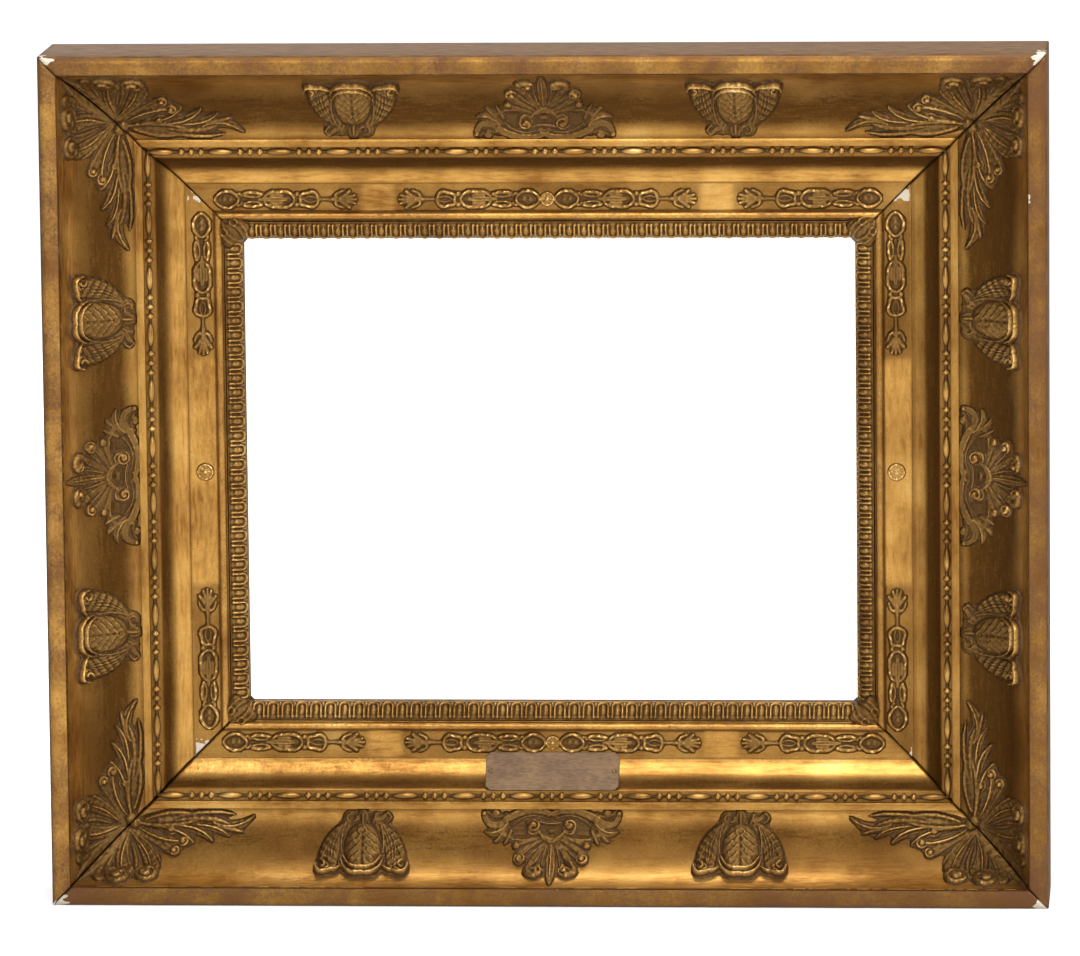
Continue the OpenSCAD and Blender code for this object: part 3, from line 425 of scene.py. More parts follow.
for side, which in enumerate(SIDES):
    half = half_of(side) - FILLET_IN - CHANNEL_WIDE * 0.45
    count = 2 * math.floor(half / REPEAT) + 1
    repeat = 2 * half / (count + SPINDLE)
    bm = bmesh.new()
    steps = round((count + SPINDLE) * 40)
    spine = [bm.verts.new((-half, 0, 0))]
    for i in range(steps + 1):
        along = i / steps * 2 * half
        spine.append(bm.verts.new((along - half, turned_radius(along / repeat % 1.0), 0)))
    spine.append(bm.verts.new((half, 0, 0)))
    for a, b in zip(spine, spine[1:]):
        bm.edges.new((a, b))
    bmesh.ops.spin(bm, geom=bm.verts[:] + bm.edges[:], cent=(0, 0, 0), axis=(1, 0, 0), angle=math.pi,
                   steps=8)
    bmesh.ops.remove_doubles(bm, verts=bm.verts, dist=0.01)
    face_outwards(bm)
    bmesh.ops.holes_fill(bm, edges=[e for e in bm.edges if e.is_boundary], sides=0)
    bmesh.ops.translate(bm, vec=(0, BEADS_AT, CHANNEL), verts=bm.verts)
    at = points_of(bm)
    s, u, h = at.T
    tall = np.hypot(u - BEADS_AT, h - CHANNEL)
    # painted shade on the thin stems and reels between the beads, and along the foot where the strip meets
    # the channel
    tone_and_shade = (smooth(2.3, 0.9, tall) * 0.85 + smooth(1.9, 0.3, h - CHANNEL) * 0.75
             + grain(at, 9, side) * 0.12)
    finish_piece(bm, "bead_and_reel_" + which, side, composition, ["bead_strip_" + which],
                 tone_and_shade, smooth(1.9, 2.7, tall) * 0.08, 0.0, shift=0.31 * side + 11)

# Centre palmettes: a fan of petals with curled tips over two C-scrolls and side leaves. All four
# are casts from one mould in composition, laid warm and soft on the hollow so that they bend to it.
# CELL is the distance between a cast's points, and is set again where finer or coarser will do.
CELL = 0.62
HOLLOW_BED = (0.25, 64.8)


def carve(X, Y, strokes, knobs):
    """Height in millimetres of the carving over a grid of points; it is below zero outside. A stroke
    is a leaf or stem through three points, as (x, y) along and out from the fillet, with its half
    width at each, its height, and its cross section: 0 round, + ribbed, - spooned. A knob is a curled
    end, as its middle, radius, height and the turn of its groove."""
    height = np.full(X.shape, -2.0)
    t = np.linspace(0, 1, 21)
    for x0, y0, xm, ym, x1, y1, w0, wm, w1, tall, style in strokes:
        px, py, pw = [(1 - t) ** 2 * a + 2 * t * (1 - t) * (2 * m - (a + b) / 2) + t * t * b
                      for a, m, b in ((x0, xm, x1), (y0, ym, y1), (w0, wm, w1))]
        pw = np.maximum(pw, 0.25)
        reach = pw.max() + 2.5
        near = ((X > px.min() - reach) & (X < px.max() + reach)
                & (Y > py.min() - reach) & (Y < py.max() + reach))
        if not near.any():
            continue
        x, y = X[near][:, None], Y[near][:, None]
        dx, dy = np.diff(px), np.diff(py)
        on = np.clip(((x - px[:-1]) * dx + (y - py[:-1]) * dy) / (dx * dx + dy * dy + 1e-9), 0, 1)
        away = np.hypot(x - px[:-1] - on * dx, y - py[:-1] - on * dy)
        wide = pw[:-1] + on * np.diff(pw)
        best = np.argmin(away / wide, axis=1)
        rows = np.arange(len(best))
        away, wide = away[rows, best], wide[rows, best]
        side_of = np.sign((x[:, 0] - px[best]) * dy[best] - (y[:, 0] - py[best]) * dx[best])
        q = away / wide
        dome = np.sqrt(np.clip(1 - q * q, 0, 1)) * tall * (wide / pw.max()) ** 0.35
        if style > 0:
            dome *= 0.78 + 0.22 * np.cos(2 * math.pi * style * q)
        elif style < 0:
            dome *= 1 - 0.62 * -style * smooth(0.86, 0.3, q) * (1 + 0.12 * np.cos(3 * math.pi * q))
        value = np.where(q < 1, dome, (1 - q) * wide * 1.1)
        height[near] = np.maximum(height[near], value)
    for x0, y0, r, tall, curl in knobs:
        away = np.hypot(X - x0, Y - y0) / r
        dome = 0.25 * tall + 0.75 * tall * np.sqrt(np.clip(1 - away * away, 0, 1))
        if curl:
            turn = np.mod(np.arctan2(Y - y0, X - x0) * np.sign(curl) + abs(curl), 2 * math.pi)
            dome -= 0.48 * tall * np.exp(-((away - 0.40 - 0.07 * turn) / 0.12) ** 2) * smooth(5.8, 5, turn)
        rim = (1 - away) * r * 1.1 + np.where(away < 1.001, 0.25 * tall, 0)
        height = np.maximum(height, np.where(away < 1, dome, rim))
    return height


def spread(field, size):
    """The field blurred over that many millimetres."""
    n = max(1, round(size / CELL))
    weights = np.exp(-(np.arange(-2 * n, 2 * n + 1) / n) ** 2)
    weights /= weights.sum()

    def blur(line):
        return np.convolve(np.pad(line, 2 * n, "edge"), weights, "valid")

    return np.apply_along_axis(blur, 1, np.apply_along_axis(blur, 0, field))


def blank(x_low, x_high, y_low, y_high):
    """A flat grid with a point every CELL: the bmesh, its points, and their x and y row by row."""
    bm = bmesh.new()
    nx, ny = round((x_high - x_low) / CELL), round((y_high - y_low) / CELL)
    bmesh.ops.create_grid(bm, x_segments=nx, y_segments=ny, size=1.0)
    place = (Matrix.Translation(((x_low + x_high) / 2, (y_low + y_high) / 2, 0))
             @ Matrix.Diagonal(((x_high - x_low) / 2, (y_high - y_low) / 2, 1, 1)))
    move(bm, place)
    at = points_of(bm)
    return bm, at, at[:, 0].reshape(ny + 1, nx + 1), at[:, 1].reshape(ny + 1, nx + 1)


def cast(x_low, x_high, y_low, y_high, pattern, gap, web, proud, gold=0.0):
    """A cast as a flat sheet in millimetres, its carving as z, with its wax, painted shade and rubbing kept
    by point.
    Gaps narrower than about gap between the strokes are filled by a web that is web high. Crests
    higher than proud are rubbed bright, and the more gold, the less wax the whole cast was given."""
    bm, at, X, Y = blank(x_low, x_high, y_low, y_high)
    height = pattern(X, Y)
    # the mould was old and the casts are clogged with wax, so no edge is crisp
    height += (0.3 * grain(at, 2.6, 3) + 0.2 * grain(at, 6, 5)).reshape(X.shape) * smooth(0.6, 1.8, height)
    if gap:
        joined = spread((spread((height > 0).astype(float), gap) > 0.2).astype(float), gap)
        height = np.maximum(height, np.where(joined > 0.62, web, (joined - 0.62) * 6))
    above = np.maximum(height, 0)
    hollow = spread(above, 1.3) - above
    crest = smooth(0.1, 0.75, -hollow) * smooth(1.2, 2.4, above)
    bright = crest * (0.25 + (0.62 + gold) * smooth(proud - 1.6, proud, above))
    # the recesses and the parts low on the ground are darker, with wax that lies in them and painted shade;
    # the crests are rubbed brighter
    tone_and_shade = 0.7 - gold * 0.6 + smooth(0, 0.7, hollow) * 0.4 + smooth(1.5, 0.6, above) * 0.2 - bright
    tone_and_shade += smooth(0.2, 1.4, spread(above, 3.0) - above) * 0.3
    rubbed = crest * 0.3
    tone_and_shade, rubbed = tone_and_shade.ravel(), rubbed.ravel()
    keep = [bm.verts.layers.float.new("tone_and_shade"), bm.verts.layers.float.new("rubbed")]
    for v, z, a, b in zip(bm.verts, np.maximum(height, -0.7).ravel(), tone_and_shade, rubbed):
        v.co.z = z
        v[keep[0]] = a
        v[keep[1]] = b
    sunk = [f for f in bm.faces if all(v.co.z < -0.5 for v in f.verts)]
    bmesh.ops.delete(bm, geom=sunk, context="FACES")
    return bm


def close_behind(bm, level):
    """Gives a cast its back at that level."""
    for v in verts_in(bmesh.ops.extrude_face_region(bm, geom=bm.faces[:])["geom"]):
        v.co.z = level


def bend_on(bm, offset):
    """Bends a flat cast onto the hollow with its middle at offset along the rail, and closes its back."""
    close_behind(bm, -0.9)
    for v in bm.verts:
        angle = HOLLOW_START - v.co.y / HOLLOW_R
        reach = HOLLOW_R - v.co.z
        v.co = (v.co.x + offset, HOLLOW_MID[0] + reach * math.cos(angle),
                HOLLOW_MID[1] + reach * math.sin(angle))


def settle(bm, name, side, node, shift, age):
    """Ages one cast by itself and fixes it to its rail; age picks where its wear falls."""
    face_outwards(bm)
    at = points_of(bm)
    layers = bm.verts.layers.float
    tone_and_shade = np.array([v[layers["tone_and_shade"]] for v in bm.verts])
    rubbed = np.array([v[layers["rubbed"]] for v in bm.verts])
    own, fine = grain(at, 13, age), grain(at, 3.2, age + 8)
    finish_piece(bm, name, side, composition, [node],
                 np.clip(tone_and_shade + own * 0.2 + fine * 0.16, -0.3, 1), rubbed + own * 0.05, shift=shift)


def both_sides(strokes, knobs):
    """Adds the mirror image of what lies off the middle line."""
    more = [(-s[0], s[1], -s[2], s[3], -s[4], *s[5:]) for s in strokes if s[0] or s[2] or s[4]]
    knobs_more = [(-k[0], k[1], k[2], k[3], -k[4]) for k in knobs if k[0]]
    return strokes + more, knobs + knobs_more


PALMETTE = both_sides([
    (0, 22, 0, 43, 0, 61.5, 1, 3.8, 0.6, 4.4, -0.7),
    (0, 25, 0, 42, 0, 57, 0.3, 1, 0.3, 3.8, 0),
    (2.4, 21.6, 8.2, 31, 12.8, 40, 1.1, 2.3, 3, 3.7, -0.6),
    (12.8, 40, 15.4, 47.4, 10.8, 51, 3, 3.2, 3.2, 4.2, 0),
    (1.6, 23, 4.6, 32, 6, 42, 0.6, 1, 0.5, 2.4, 0),
    (4.8, 20.6, 15, 27, 22.2, 33.6, 1.1, 2.2, 2.9, 3.5, -0.6),
    (3.8, 22.8, 11.5, 30, 17, 37.4, 0.6, 1, 0.6, 2.4, 0),
    (5.6, 18.8, 14.6, 21.8, 22, 24.6, 1, 1.8, 2, 3, -0.5),
    (4.8, 21.2, 13, 25.2, 19.4, 28.8, 0.5, 0.8, 0.5, 2.2, 0),
    (-8.8, 15.6, 0, 22.2, 8.8, 15.6, 1.1, 2.5, 1.1, 4.2, -0.4),
    (-8.4, 8.6, 0, 10.2, 8.4, 8.6, 0.7, 0.8, 0.7, 2.6, 0),
    (-2.4, 14.2, 0, 15.2, 2.4, 14.2, 0.9, 1.7, 0.9, 1.6, 0),
    (-2.6, 5.4, 0, 4.2, 2.6, 5.4, 2.4, 2.8, 2.4, 3, 1),
    (0.8, 3.6, 15, 1.6, 30, 7.2, 2.3, 2.7, 3.2, 4.2, -0.5),
    (30, 7.2, 33.4, 15.5, 24.6, 20.8, 3, 2.6, 0.8, 3.2, -0.5),
    (4, 6.4, 15.6, 5.2, 26.2, 11.6, 0.5, 0.8, 0.5, 2.2, 0),
    (6, 12.5, 16, 12.5, 26, 13, 4.6, 5.6, 4.2, 0.75, 0),
    (7.6, 15.4, 13.4, 17.4, 16.4, 12.6, 1, 1.2, 0.9, 2.6, 0),
    (6.5, 18.4, 15, 21, 26, 21.4, 0.7, 1, 1.2, 2.2, 0),
    (29, 6, 39.6, 11, 45.6, 2.4, 2.2, 2.7, 1.5, 3, -0.6),
    (30, 3.2, 37, 5.6, 43, 1.8, 1.4, 1.9, 1.2, 2, 1),
    (29, 10, 36.6, 16, 45, 15.6, 2.4, 3, 0.7, 2.9, 1),
    (30, 12, 35, 20, 39, 23, 2, 2.2, 0.6, 2.4, 1),
    (27, 15, 29.4, 21, 31.4, 25, 1.6, 1.7, 0.6, 2.2, 0)
], [
    (9.6, 48.2, 4.7, 5.4, 0.8), (20.8, 36.6, 4.4, 4.8, 0.6), (23.4, 25.8, 2.9, 3.6, 0),
    (12.2, 11.6, 4.9, 4.4, 2.2), (37.2, 2.9, 2.9, 2.8, 0), (45, 3.4, 2, 2.8, 0)
])

palmette_cast = cast(-49, 49, *HOLLOW_BED, lambda X, Y: carve(X, Y, *PALMETTE), 1.3, 0.6, 3.4)
for side, which in enumerate(SIDES):
    bm = palmette_cast.copy()
    bend_on(bm, 0)
    settle(bm, "palmette_middle_" + which, side, "centre_palmette_" + which, 17 + side * 0.3, side + 20)

# Roses: a closed bud in two bracts between rolled petals, with a small calyx against the fillet.
# Eight casts from one mould, two on each rail between the palmettes.
ROSE = both_sides([
    (10.6, 11.5, 19.6, 24, 22.6, 40.5, 3, 6.4, 7.2, 4, -0.75),
    (13.6, 12, 19, 24, 20.6, 38, 2, 4.2, 3.6, 3.8, 2),
    (17.2, 15.6, 23.4, 26.6, 27.8, 38, 0.8, 1.4, 1.2, 3.2, 0),
    (31, 39.4, 28.4, 49.4, 20.6, 48, 0.8, 1.7, 1.3, 5.8, 0),
    (20.6, 48, 17.2, 47.2, 13.6, 43.4, 1.3, 1.2, 0.8, 5.2, 0),
    (27.6, 38.6, 24.6, 42.4, 27, 45, 0.6, 1, 0.6, 5.6, 0),
    (23.6, 41.4, 22, 44.8, 25, 46.6, 0.5, 0.7, 0.5, 5, 0),
    (0, 51.2, 9, 49.6, 14.2, 37.6, 1.2, 1.3, 0.7, 6, 0),
    (0, 46.6, 7.6, 44.6, 12.8, 34.6, 1.1, 1, 0.6, 7, 0),
    (0, 49, 6, 47.4, 11.6, 40, 2, 1.8, 1, 4, 0),
    (11.4, 11, 13.8, 20, 13.6, 32, 0.6, 0.9, 0.6, 3.4, 0)
], [])
# the calyx is a crown of three lobes, of which the right one is curled
CALYX = [
    (-9, 9.5, -10.5, 6, -8, 3.6, 2.6, 3, 2.2, 3, 1),
    (0, 10, 0, 6, 0, 3.2, 3.2, 3.8, 2.6, 3.8, 1),
    (-6, 8.6, -4.6, 8, -4.2, 5.6, 1.6, 1.8, 1, 2.6, 0),
    (6.4, 9.6, 8, 6.4, 8.6, 3.6, 2.2, 2.4, 1.6, 3, 1),
    (7.6, 7.6, 12.6, 6.6, 16.4, 3.2, 1.6, 1.9, 1.5, 3.4, -0.6),
    (16.4, 3.2, 18.4, 6.4, 15.6, 9.6, 1.5, 1.4, 0.7, 3, 0)
]


def rose_pattern(X, Y):
    height = np.maximum(carve(X, Y, *ROSE), carve(X, Y, CALYX, []))
    # the side petals are ruffled across, more so towards their edges
    ruffle = np.sin((Y * 0.8 + np.abs(X) * 0.62) * math.tau / 5.2)
    ruffle *= smooth(13, 20, np.abs(X)) * smooth(46, 38, Y)
    height += 0.65 * ruffle * smooth(0.4, 1.6, height)
    # the bud swells to 7 mm, parted down its middle, with leaflets laid like a herringbone
    across, along = X / 13.0, (Y - 28) / 19.0
    inside = np.clip(1 - across ** 2 - along ** 2, 0, 1)
    bud = 6.4 * np.sqrt(inside) ** 0.8
    lie = (Y - 0.85 * np.abs(X)) / 6.2
    leaflet = 0.5 - np.mod(lie, 1)
    bud += 1.5 * leaflet * smooth(0.05, 0.4, inside) * smooth(0.3, 2, np.abs(X)) * smooth(12.5, 16, Y)
    bud += np.cos(lie * 8 * math.pi) * smooth(0.3, 0.7, inside) * smooth(1, 3, np.abs(X)) * 0.2
    bud -= 0.8 * np.exp(-(X / 0.6) ** 2) * smooth(0.05, 0.3, inside) * smooth(14, 18, Y)
    knot = np.hypot(X, (Y - 16) * 0.9)
    bud += 0.6 * np.exp(-((knot - 2.6) / 0.6) ** 2) + 0.6 * np.exp(-(knot / 0.9) ** 2)
    return np.maximum(height, np.where(inside > 0, bud, -2))


rose_cast = cast(-34.5, 34.5, 0.25, 56.5, rose_pattern, 2.6, 0.9, 5.0)
ROSE_ENDS = (("left", "right"), ("lower", "upper"), ("right", "left"), ("upper", "lower"))
for side, which in enumerate(SIDES):
    for end, way in zip(ROSE_ENDS[side], (-1, 1)):
        bm = rose_cast.copy()
        bend_on(bm, way * ROSES[side])
        own_name = which + "_" + end
        settle(bm, "bud_and_petals_" + own_name, side, "rose_" + own_name,
               23 + side * 0.7 + way * 0.2, side * 2 + way + 31)

# Corner palmettes: petals that curl away from a leaf on the mitre, and an acanthus branch down
# each rail. Each is two half casts that meet on the mitre, where the drying wood has cracked them.
CORNER = ([
    (-13, 14, -29.5, 32.6, -43.5, 57, 1.6, 8, 1.6, 3.6, -0.5),
    (-13, 14, -30.5, 33.5, -43.5, 57, 0.8, 1.5, 0.8, 3.8, 0),
    (-14.6, 20, -24.4, 38, -28.8, 53.4, 0.8, 3, 4.2, 3.6, -0.7),
    (-11.6, 14.5, -14.6, 32, -12, 46, 1.4, 4.6, 6.2, 4, -0.75),
    (-11.8, 20, -14.8, 34, -14.2, 46, 0.6, 1.2, 0.8, 3.6, 0),
    (-10, 15, -0.6, 28, 5.6, 42.6, 1.4, 4, 5.6, 4, -0.75),
    (-7.4, 20, 0.6, 31, 4.6, 42.6, 0.6, 1.1, 0.7, 3.6, 0),
    (-9.4, 24, -5.6, 36, -5, 46, 0.6, 2, 1.2, 2.8, 0),
    (-9, 14, 5.4, 21.6, 17, 29.4, 1.2, 3, 3.4, 3.4, -0.7),
    (-6, 18, 3.4, 26.8, 10.6, 37.6, 0.6, 1.6, 1, 2.8, 0),
    (-10, 12, 16, 9, 42, 9.4, 2, 7, 4.4, 2.4, 0),
    (-6, 9.6, 12, 12.4, 34, 9, 0.9, 2.4, 1.4, 4.2, 0),
    (20, 9, 40, 7.4, 56, 11, 1.2, 2.6, 1.4, 4, 0),
    (46, 10.4, 60, 12.4, 73, 5, 2.6, 3.6, 0.8, 4, 1),
    (-4, 13.8, 10, 21.6, 23, 23.4, 1.6, 3.4, 2.4, 4, 1),
    (2, 12.6, 20, 15.8, 32, 24, 1.4, 3.2, 1.4, 4.2, 1),
    (18, 12.6, 34, 14.8, 45, 23, 1.6, 3.2, 1.2, 4.2, 1),
    (32, 11.6, 46, 13.6, 56, 19.4, 1.4, 2.8, 1, 4, 1),
    (46, 12.6, 57, 14.6, 65, 16.6, 1.2, 2.2, 0.8, 3.6, 0),
    (0, 8, 18, 3.6, 34, 5.2, 1.4, 2.2, 1, 3.6, 0),
    (22, 6, 42, 3, 60, 4.4, 1.2, 2, 0.8, 3.4, 0)
], [
    (-17, 52.6, 8.6, 5, 0.4), (2.4, 50.2, 8, 5, 1), (20, 30.4, 4, 4.6, 1),
    (17.6, 14.4, 4.6, 4.6, 2.4), (25.6, 23.4, 4.2, 4.6, 0.6), (-7, 10, 4.4, 4.4, 0)
])


def join(target, bm):
    """Adds one bmesh to another."""
    mesh = mesh_of(bm, "part")
    target.from_mesh(mesh)
    bpy.data.meshes.remove(mesh)


corner_cast = cast(-50, 74, *HOLLOW_BED, lambda X, Y: carve(X, Y, *CORNER), 1.6, 0.7, 3.8)
CORNERS = ("bottom_right", "top_right", "top_left", "bottom_left")
HALF_CRACK = 0.75
for side, which in enumerate(CORNERS):
    whole = bmesh.new()
    for part, end in ((side, 1), ((side + 1) % 4, -1)):
        bm = corner_cast.copy()
        bend_on(bm, 0)
        # the cast's x counts from the corner of the fillet towards the middle of the rail
        place = (Matrix.Translation((end * (half_of(part) - FILLET_OUT), 0, 0))
                 @ Matrix.Diagonal((-end, 1, 1, 1)))
        move(bm, place)
        bmesh.ops.bisect_plane(bm, geom=bm.verts[:] + bm.edges[:] + bm.faces[:], clear_outer=True,
                               plane_co=(end * (half_of(part) - HALF_CRACK), 0, 0), plane_no=(end, 1, 0))
        cap(bm)
        move(bm, rail_matrix(side).inverted() @ rail_matrix(part))
        join(whole, bm)
    settle(whole, "palmette_corner_" + which, side, "corner_palmette_" + which, 29 + side * 0.4, side + 47)

# Frieze scrolls: a fan, a stem, loops and paired leaves in low relief, in strips on the frieze.
# One mould gives a length that runs in from each corner; the long rails have two more in the middle.
SCROLL = ([
    (14, 0, 9, 2.6, 5.4, 5.4, 0.8, 1.3, 1.1, 1.7, 0),
    (14, 0, 7.6, 1.2, 1.6, 2.8, 0.7, 1.1, 0.9, 1.7, 0),
    (14, 0, 7, 0, 0.8, 0, 0.7, 1, 0.9, 1.8, 0),
    (13, 0, 14.6, 3, 9.6, 5.6, 0.9, 1.1, 0.9, 1.6, 0),
    (13, 0, 20, 0, 26.5, 0, 1.9, 0.9, 1, 1.6, 0),
    (26, 0, 28.4, 4.4, 33, 4.3, 1, 1.2, 1.2, 1.8, 0),
    (33, 4.3, 37.4, 3.2, 37.8, 0, 1.2, 1.2, 1.2, 1.8, 0),
    (26.5, 0.2, 31.5, 1.9, 36, 0.2, 0.5, 0.6, 0.5, 1.2, 0),
    (42, 0.3, 46, 4.6, 54, 4.8, 0.9, 1.2, 1.3, 1.8, 0),
    (54, 4.8, 59, 4.2, 62.5, 1.2, 1.3, 1.2, 0.6, 1.7, 0),
    (47, 0.6, 56, 1, 66, 0.3, 0.6, 0.8, 0.6, 1.3, 0),
    (50, 2.6, 54, 3, 58, 2.4, 0.8, 0.9, 0.7, 1.4, 0),
    (64, 3.4, 69.5, 4.6, 75.5, 4, 1.2, 1.2, 1.2, 1.8, 0),
    (64, 2.6, 69.5, 1.5, 75.5, 2.6, 0.7, 0.7, 0.8, 1.5, 0),
    (77, 2.2, 78.6, 3.8, 80.6, 3.4, 0.7, 0.9, 0.7, 1.6, 0),
    (80, 2.2, 87, 5.6, 94, 2, 1, 1.2, 1, 1.8, 0),
    (94, 2, 94.8, 0, 94, -2, 1, 1, 1, 1.8, 0),
    (80, 2.2, 79.2, 0, 80, -2.2, 0.9, 0.9, 0.9, 1.6, 0)
], [
    (40.4, 3.6, 1.9, 1.9, 0), (84.6, 0, 1.9, 1.2, 0), (88.6, 0, 1.9, 1.2, 0)
])
SCROLL_AT, FRIEZE, MIDDLE_LONG = 100.93, 27.6, 99.0


def scroll_pattern(X, Y):
    bold = [(*s[:6], s[6] * 1.3, s[7] * 1.35, s[8] * 1.3, s[9] * 1.15, s[10]) for s in SCROLL[0]]
    return np.maximum(carve(X, Y, bold, SCROLL[1]), carve(X, -Y, bold, SCROLL[1]))


def rosette_pattern(X, Y):
    """A round boss of eight petals about a button, 10 mm across."""
    away, turn = np.hypot(X, Y), np.arctan2(Y, X)
    petals = 1.7 * np.sqrt(np.clip(1 - (away / 5.0) ** 2, 0, 1)) * (0.88 + 0.12 * np.cos(8 * turn))
    ring = 0.9 * np.exp(-((away - 4.3) / 0.5) ** 2)
    button = 2.3 * np.sqrt(np.clip(1 - (away / 1.7) ** 2, 0, 1))
    return np.where(away < 5.0, np.maximum(petals, button) + ring, 5.0 - away)


CELL = 0.46
scroll_cast = cast(-0.6, 96.2, -7.2, 7.2, scroll_pattern, 1.5, 0.4, 1.7, 0.3)
rosette_cast = cast(-5.6, 5.6, -5.6, 5.6, rosette_pattern, 0, 0, 1.4, 0.9)


def lay_flat(target, mould, along, size):
    """Adds a copy of a flat cast to the target, with its start at that place on the frieze."""
    bm = mould.copy()
    close_behind(bm, -0.8)
    place = Matrix.Translation((along, SCROLL_AT, FRIEZE)) @ Matrix.Diagonal((*size, 1))
    move(bm, place)
    join(target, bm)


for side, which in enumerate(SIDES):
    is_long = side % 2 == 0
    start = half_of(side) - SCROLL_AT - 5.8 - 3.4 - SCROLL_LONG
    ends, middle = bmesh.new(), bmesh.new()
    for way in (1, -1):
        lay_flat(ends, scroll_cast, way * start, (way, 1, 1))
        if is_long:
            lay_flat(middle, scroll_cast, way * MIDDLE_LONG, (-way * 0.99, 1, 1))
    lay_flat(middle, rosette_cast, 0, (1, 1, 1) if is_long else (1.2, 1.2, 1.2))
    settle(ends, "scrollwork_ends_" + which, side, "end_scrolls_" + which, 37 + side * 0.3, side + 61)
    node = ("centre_scroll_" if is_long else "frieze_rosette_") + which
    settle(middle, "scrollwork_middle_" + which, side, node, 41 + side * 0.3, side + 67)

# Sight strips: a quarter round pressed with a row of round arches over small eggs, which lies on
# the ledge next to the picture. A lobed leaf covers each mitred corner.
OVOLO_MID, OVOLO_R, STRIP_OUT, STRIP_SEAT = (118.4, 18.5), 10.0, 116.0, 19.5
OVOLO_START = math.acos((STRIP_OUT - OVOLO_MID[0]) / OVOLO_R)
OVOLO_GIRTH = (OVOLO_START - math.acos(0.96)) * OVOLO_R
ARCH, LEAF_LONG, SIGHT_EDGE = 9.4, 13.3, 128.0
CELL = 0.55


def arches(pitch):
    """A row of round arches that far apart, each over an egg, with feet and darts between them."""
    def pattern(X, Y):
        x = np.mod(X, pitch) - pitch / 2
        spring = 9.2
        away = np.where(Y < spring, np.abs(x), np.hypot(x, Y - spring))
        arch = 1.9 * np.exp(-((away - 3.35) / 0.8) ** 2) * smooth(1.2, 2.2, Y)
        foot = 1.7 * np.sqrt(np.clip(1 - ((np.abs(x) - 3.5) / 1.25) ** 2 - ((Y - 2.6) / 1.4) ** 2, 0, 1))
        egg = 1.25 * np.sqrt(np.clip(1 - (x / 1.9) ** 2 - ((Y - 7.6) / 4.0) ** 2, 0, 1))
        between = (np.abs(x) - pitch / 2) / 0.9
        dart = 1.1 * np.sqrt(np.clip(1 - between ** 2 - ((Y - 11.5) / 2.4) ** 2, 0, 1))
        rim = 0.5 * smooth(14.2, 15, Y) + 0.4 * smooth(1, 0.3, Y)
        return np.maximum.reduce([arch, foot, egg, dart, rim]) - 0.75
    return pattern


for side, which in enumerate(SIDES):
    half = half_of(side) - MITRE_GAP / math.sqrt(2)
    free = 2 * half_of(side) - 2 * STRIP_OUT - 2 * LEAF_LONG
    pattern = arches(free / math.floor(free / ARCH))
    reach = half - STRIP_OUT
    bm, at, X, Y = blank(-reach, reach, 0, OVOLO_GIRTH)
    height = pattern(X + free / 2, Y) + grain(at, 3.5, side + 71).reshape(X.shape) * 0.12
    hollow = spread(height, 1.0) - height
    # painted shade in the recesses round the arches and eggs and where the strip meets the bar, and a painted
    # highlight on the crests
    shade_and_highlight = (smooth(-0.05, 0.35, hollow) * 0.7 + 0.42 - 0.5 * smooth(0.05, 0.4, -hollow)
            + 0.3 * smooth(2, 0.5, Y))
    for v, z in zip(bm.verts, height.ravel()):
        angle = OVOLO_START - v.co.y / OVOLO_R
        out = OVOLO_R + z
        v.co.y, v.co.z = OVOLO_MID[0] + out * math.cos(angle), OVOLO_MID[1] + out * math.sin(angle)
        over = abs(v.co.x) - free / 2
        if over > 0:
            share = over / (reach - free / 2)
            v.co.x = math.copysign(free / 2 + share * (half - v.co.y - free / 2), v.co.x)
    # the strip's underside is closed flat on its seat
    rim = [e for e in bm.edges if e.is_boundary]
    for v in verts_in(bmesh.ops.extrude_edge_only(bm, edges=rim)["geom"]):
        v.co.z = STRIP_SEAT
    bmesh.ops.contextual_create(bm, geom=[e for e in bm.edges if e.is_boundary])
    face_outwards(bm)
    extra = len(bm.verts) - shade_and_highlight.size
    finish_piece(bm, "arched_strip_" + which, side, composition, ["sight_strip_" + which],
                 np.concatenate([shade_and_highlight.ravel(), np.full(extra, 0.8)]), 0.0, 0.0, shift=0.3 * side + 43)


def leaf_pattern(X, Y):
    """A lobed leaf whose tip points into the sight: X across the mitre and Y out along it."""
    middle = 9.0
    away, turn = np.hypot(X, (Y - middle) * 1.05), np.arctan2(X, Y - middle)
    edge = 10.8 + 0.9 * np.cos(6 * turn) - 0.4 * np.cos(2 * turn)
    q = away / edge
    ribs = np.cos(math.pi * 2 * (np.abs(X) * 0.9 + 0.02 * (Y - middle) ** 2) / 3.3)
    curl = np.exp(-((np.hypot(np.abs(X) - 4.6, Y - 12.5) - 2.4) / 0.7) ** 2)
    value = 2.7 * np.sqrt(np.clip(1 - q ** 4, 0, 1)) + 0.5 * ribs * smooth(1, 0.7, q)
    value = value - 0.6 * np.exp(-(X / 0.6) ** 2) + 0.8 * curl
    return np.where(q < 1, value, (1 - q) * edge * 1.4)


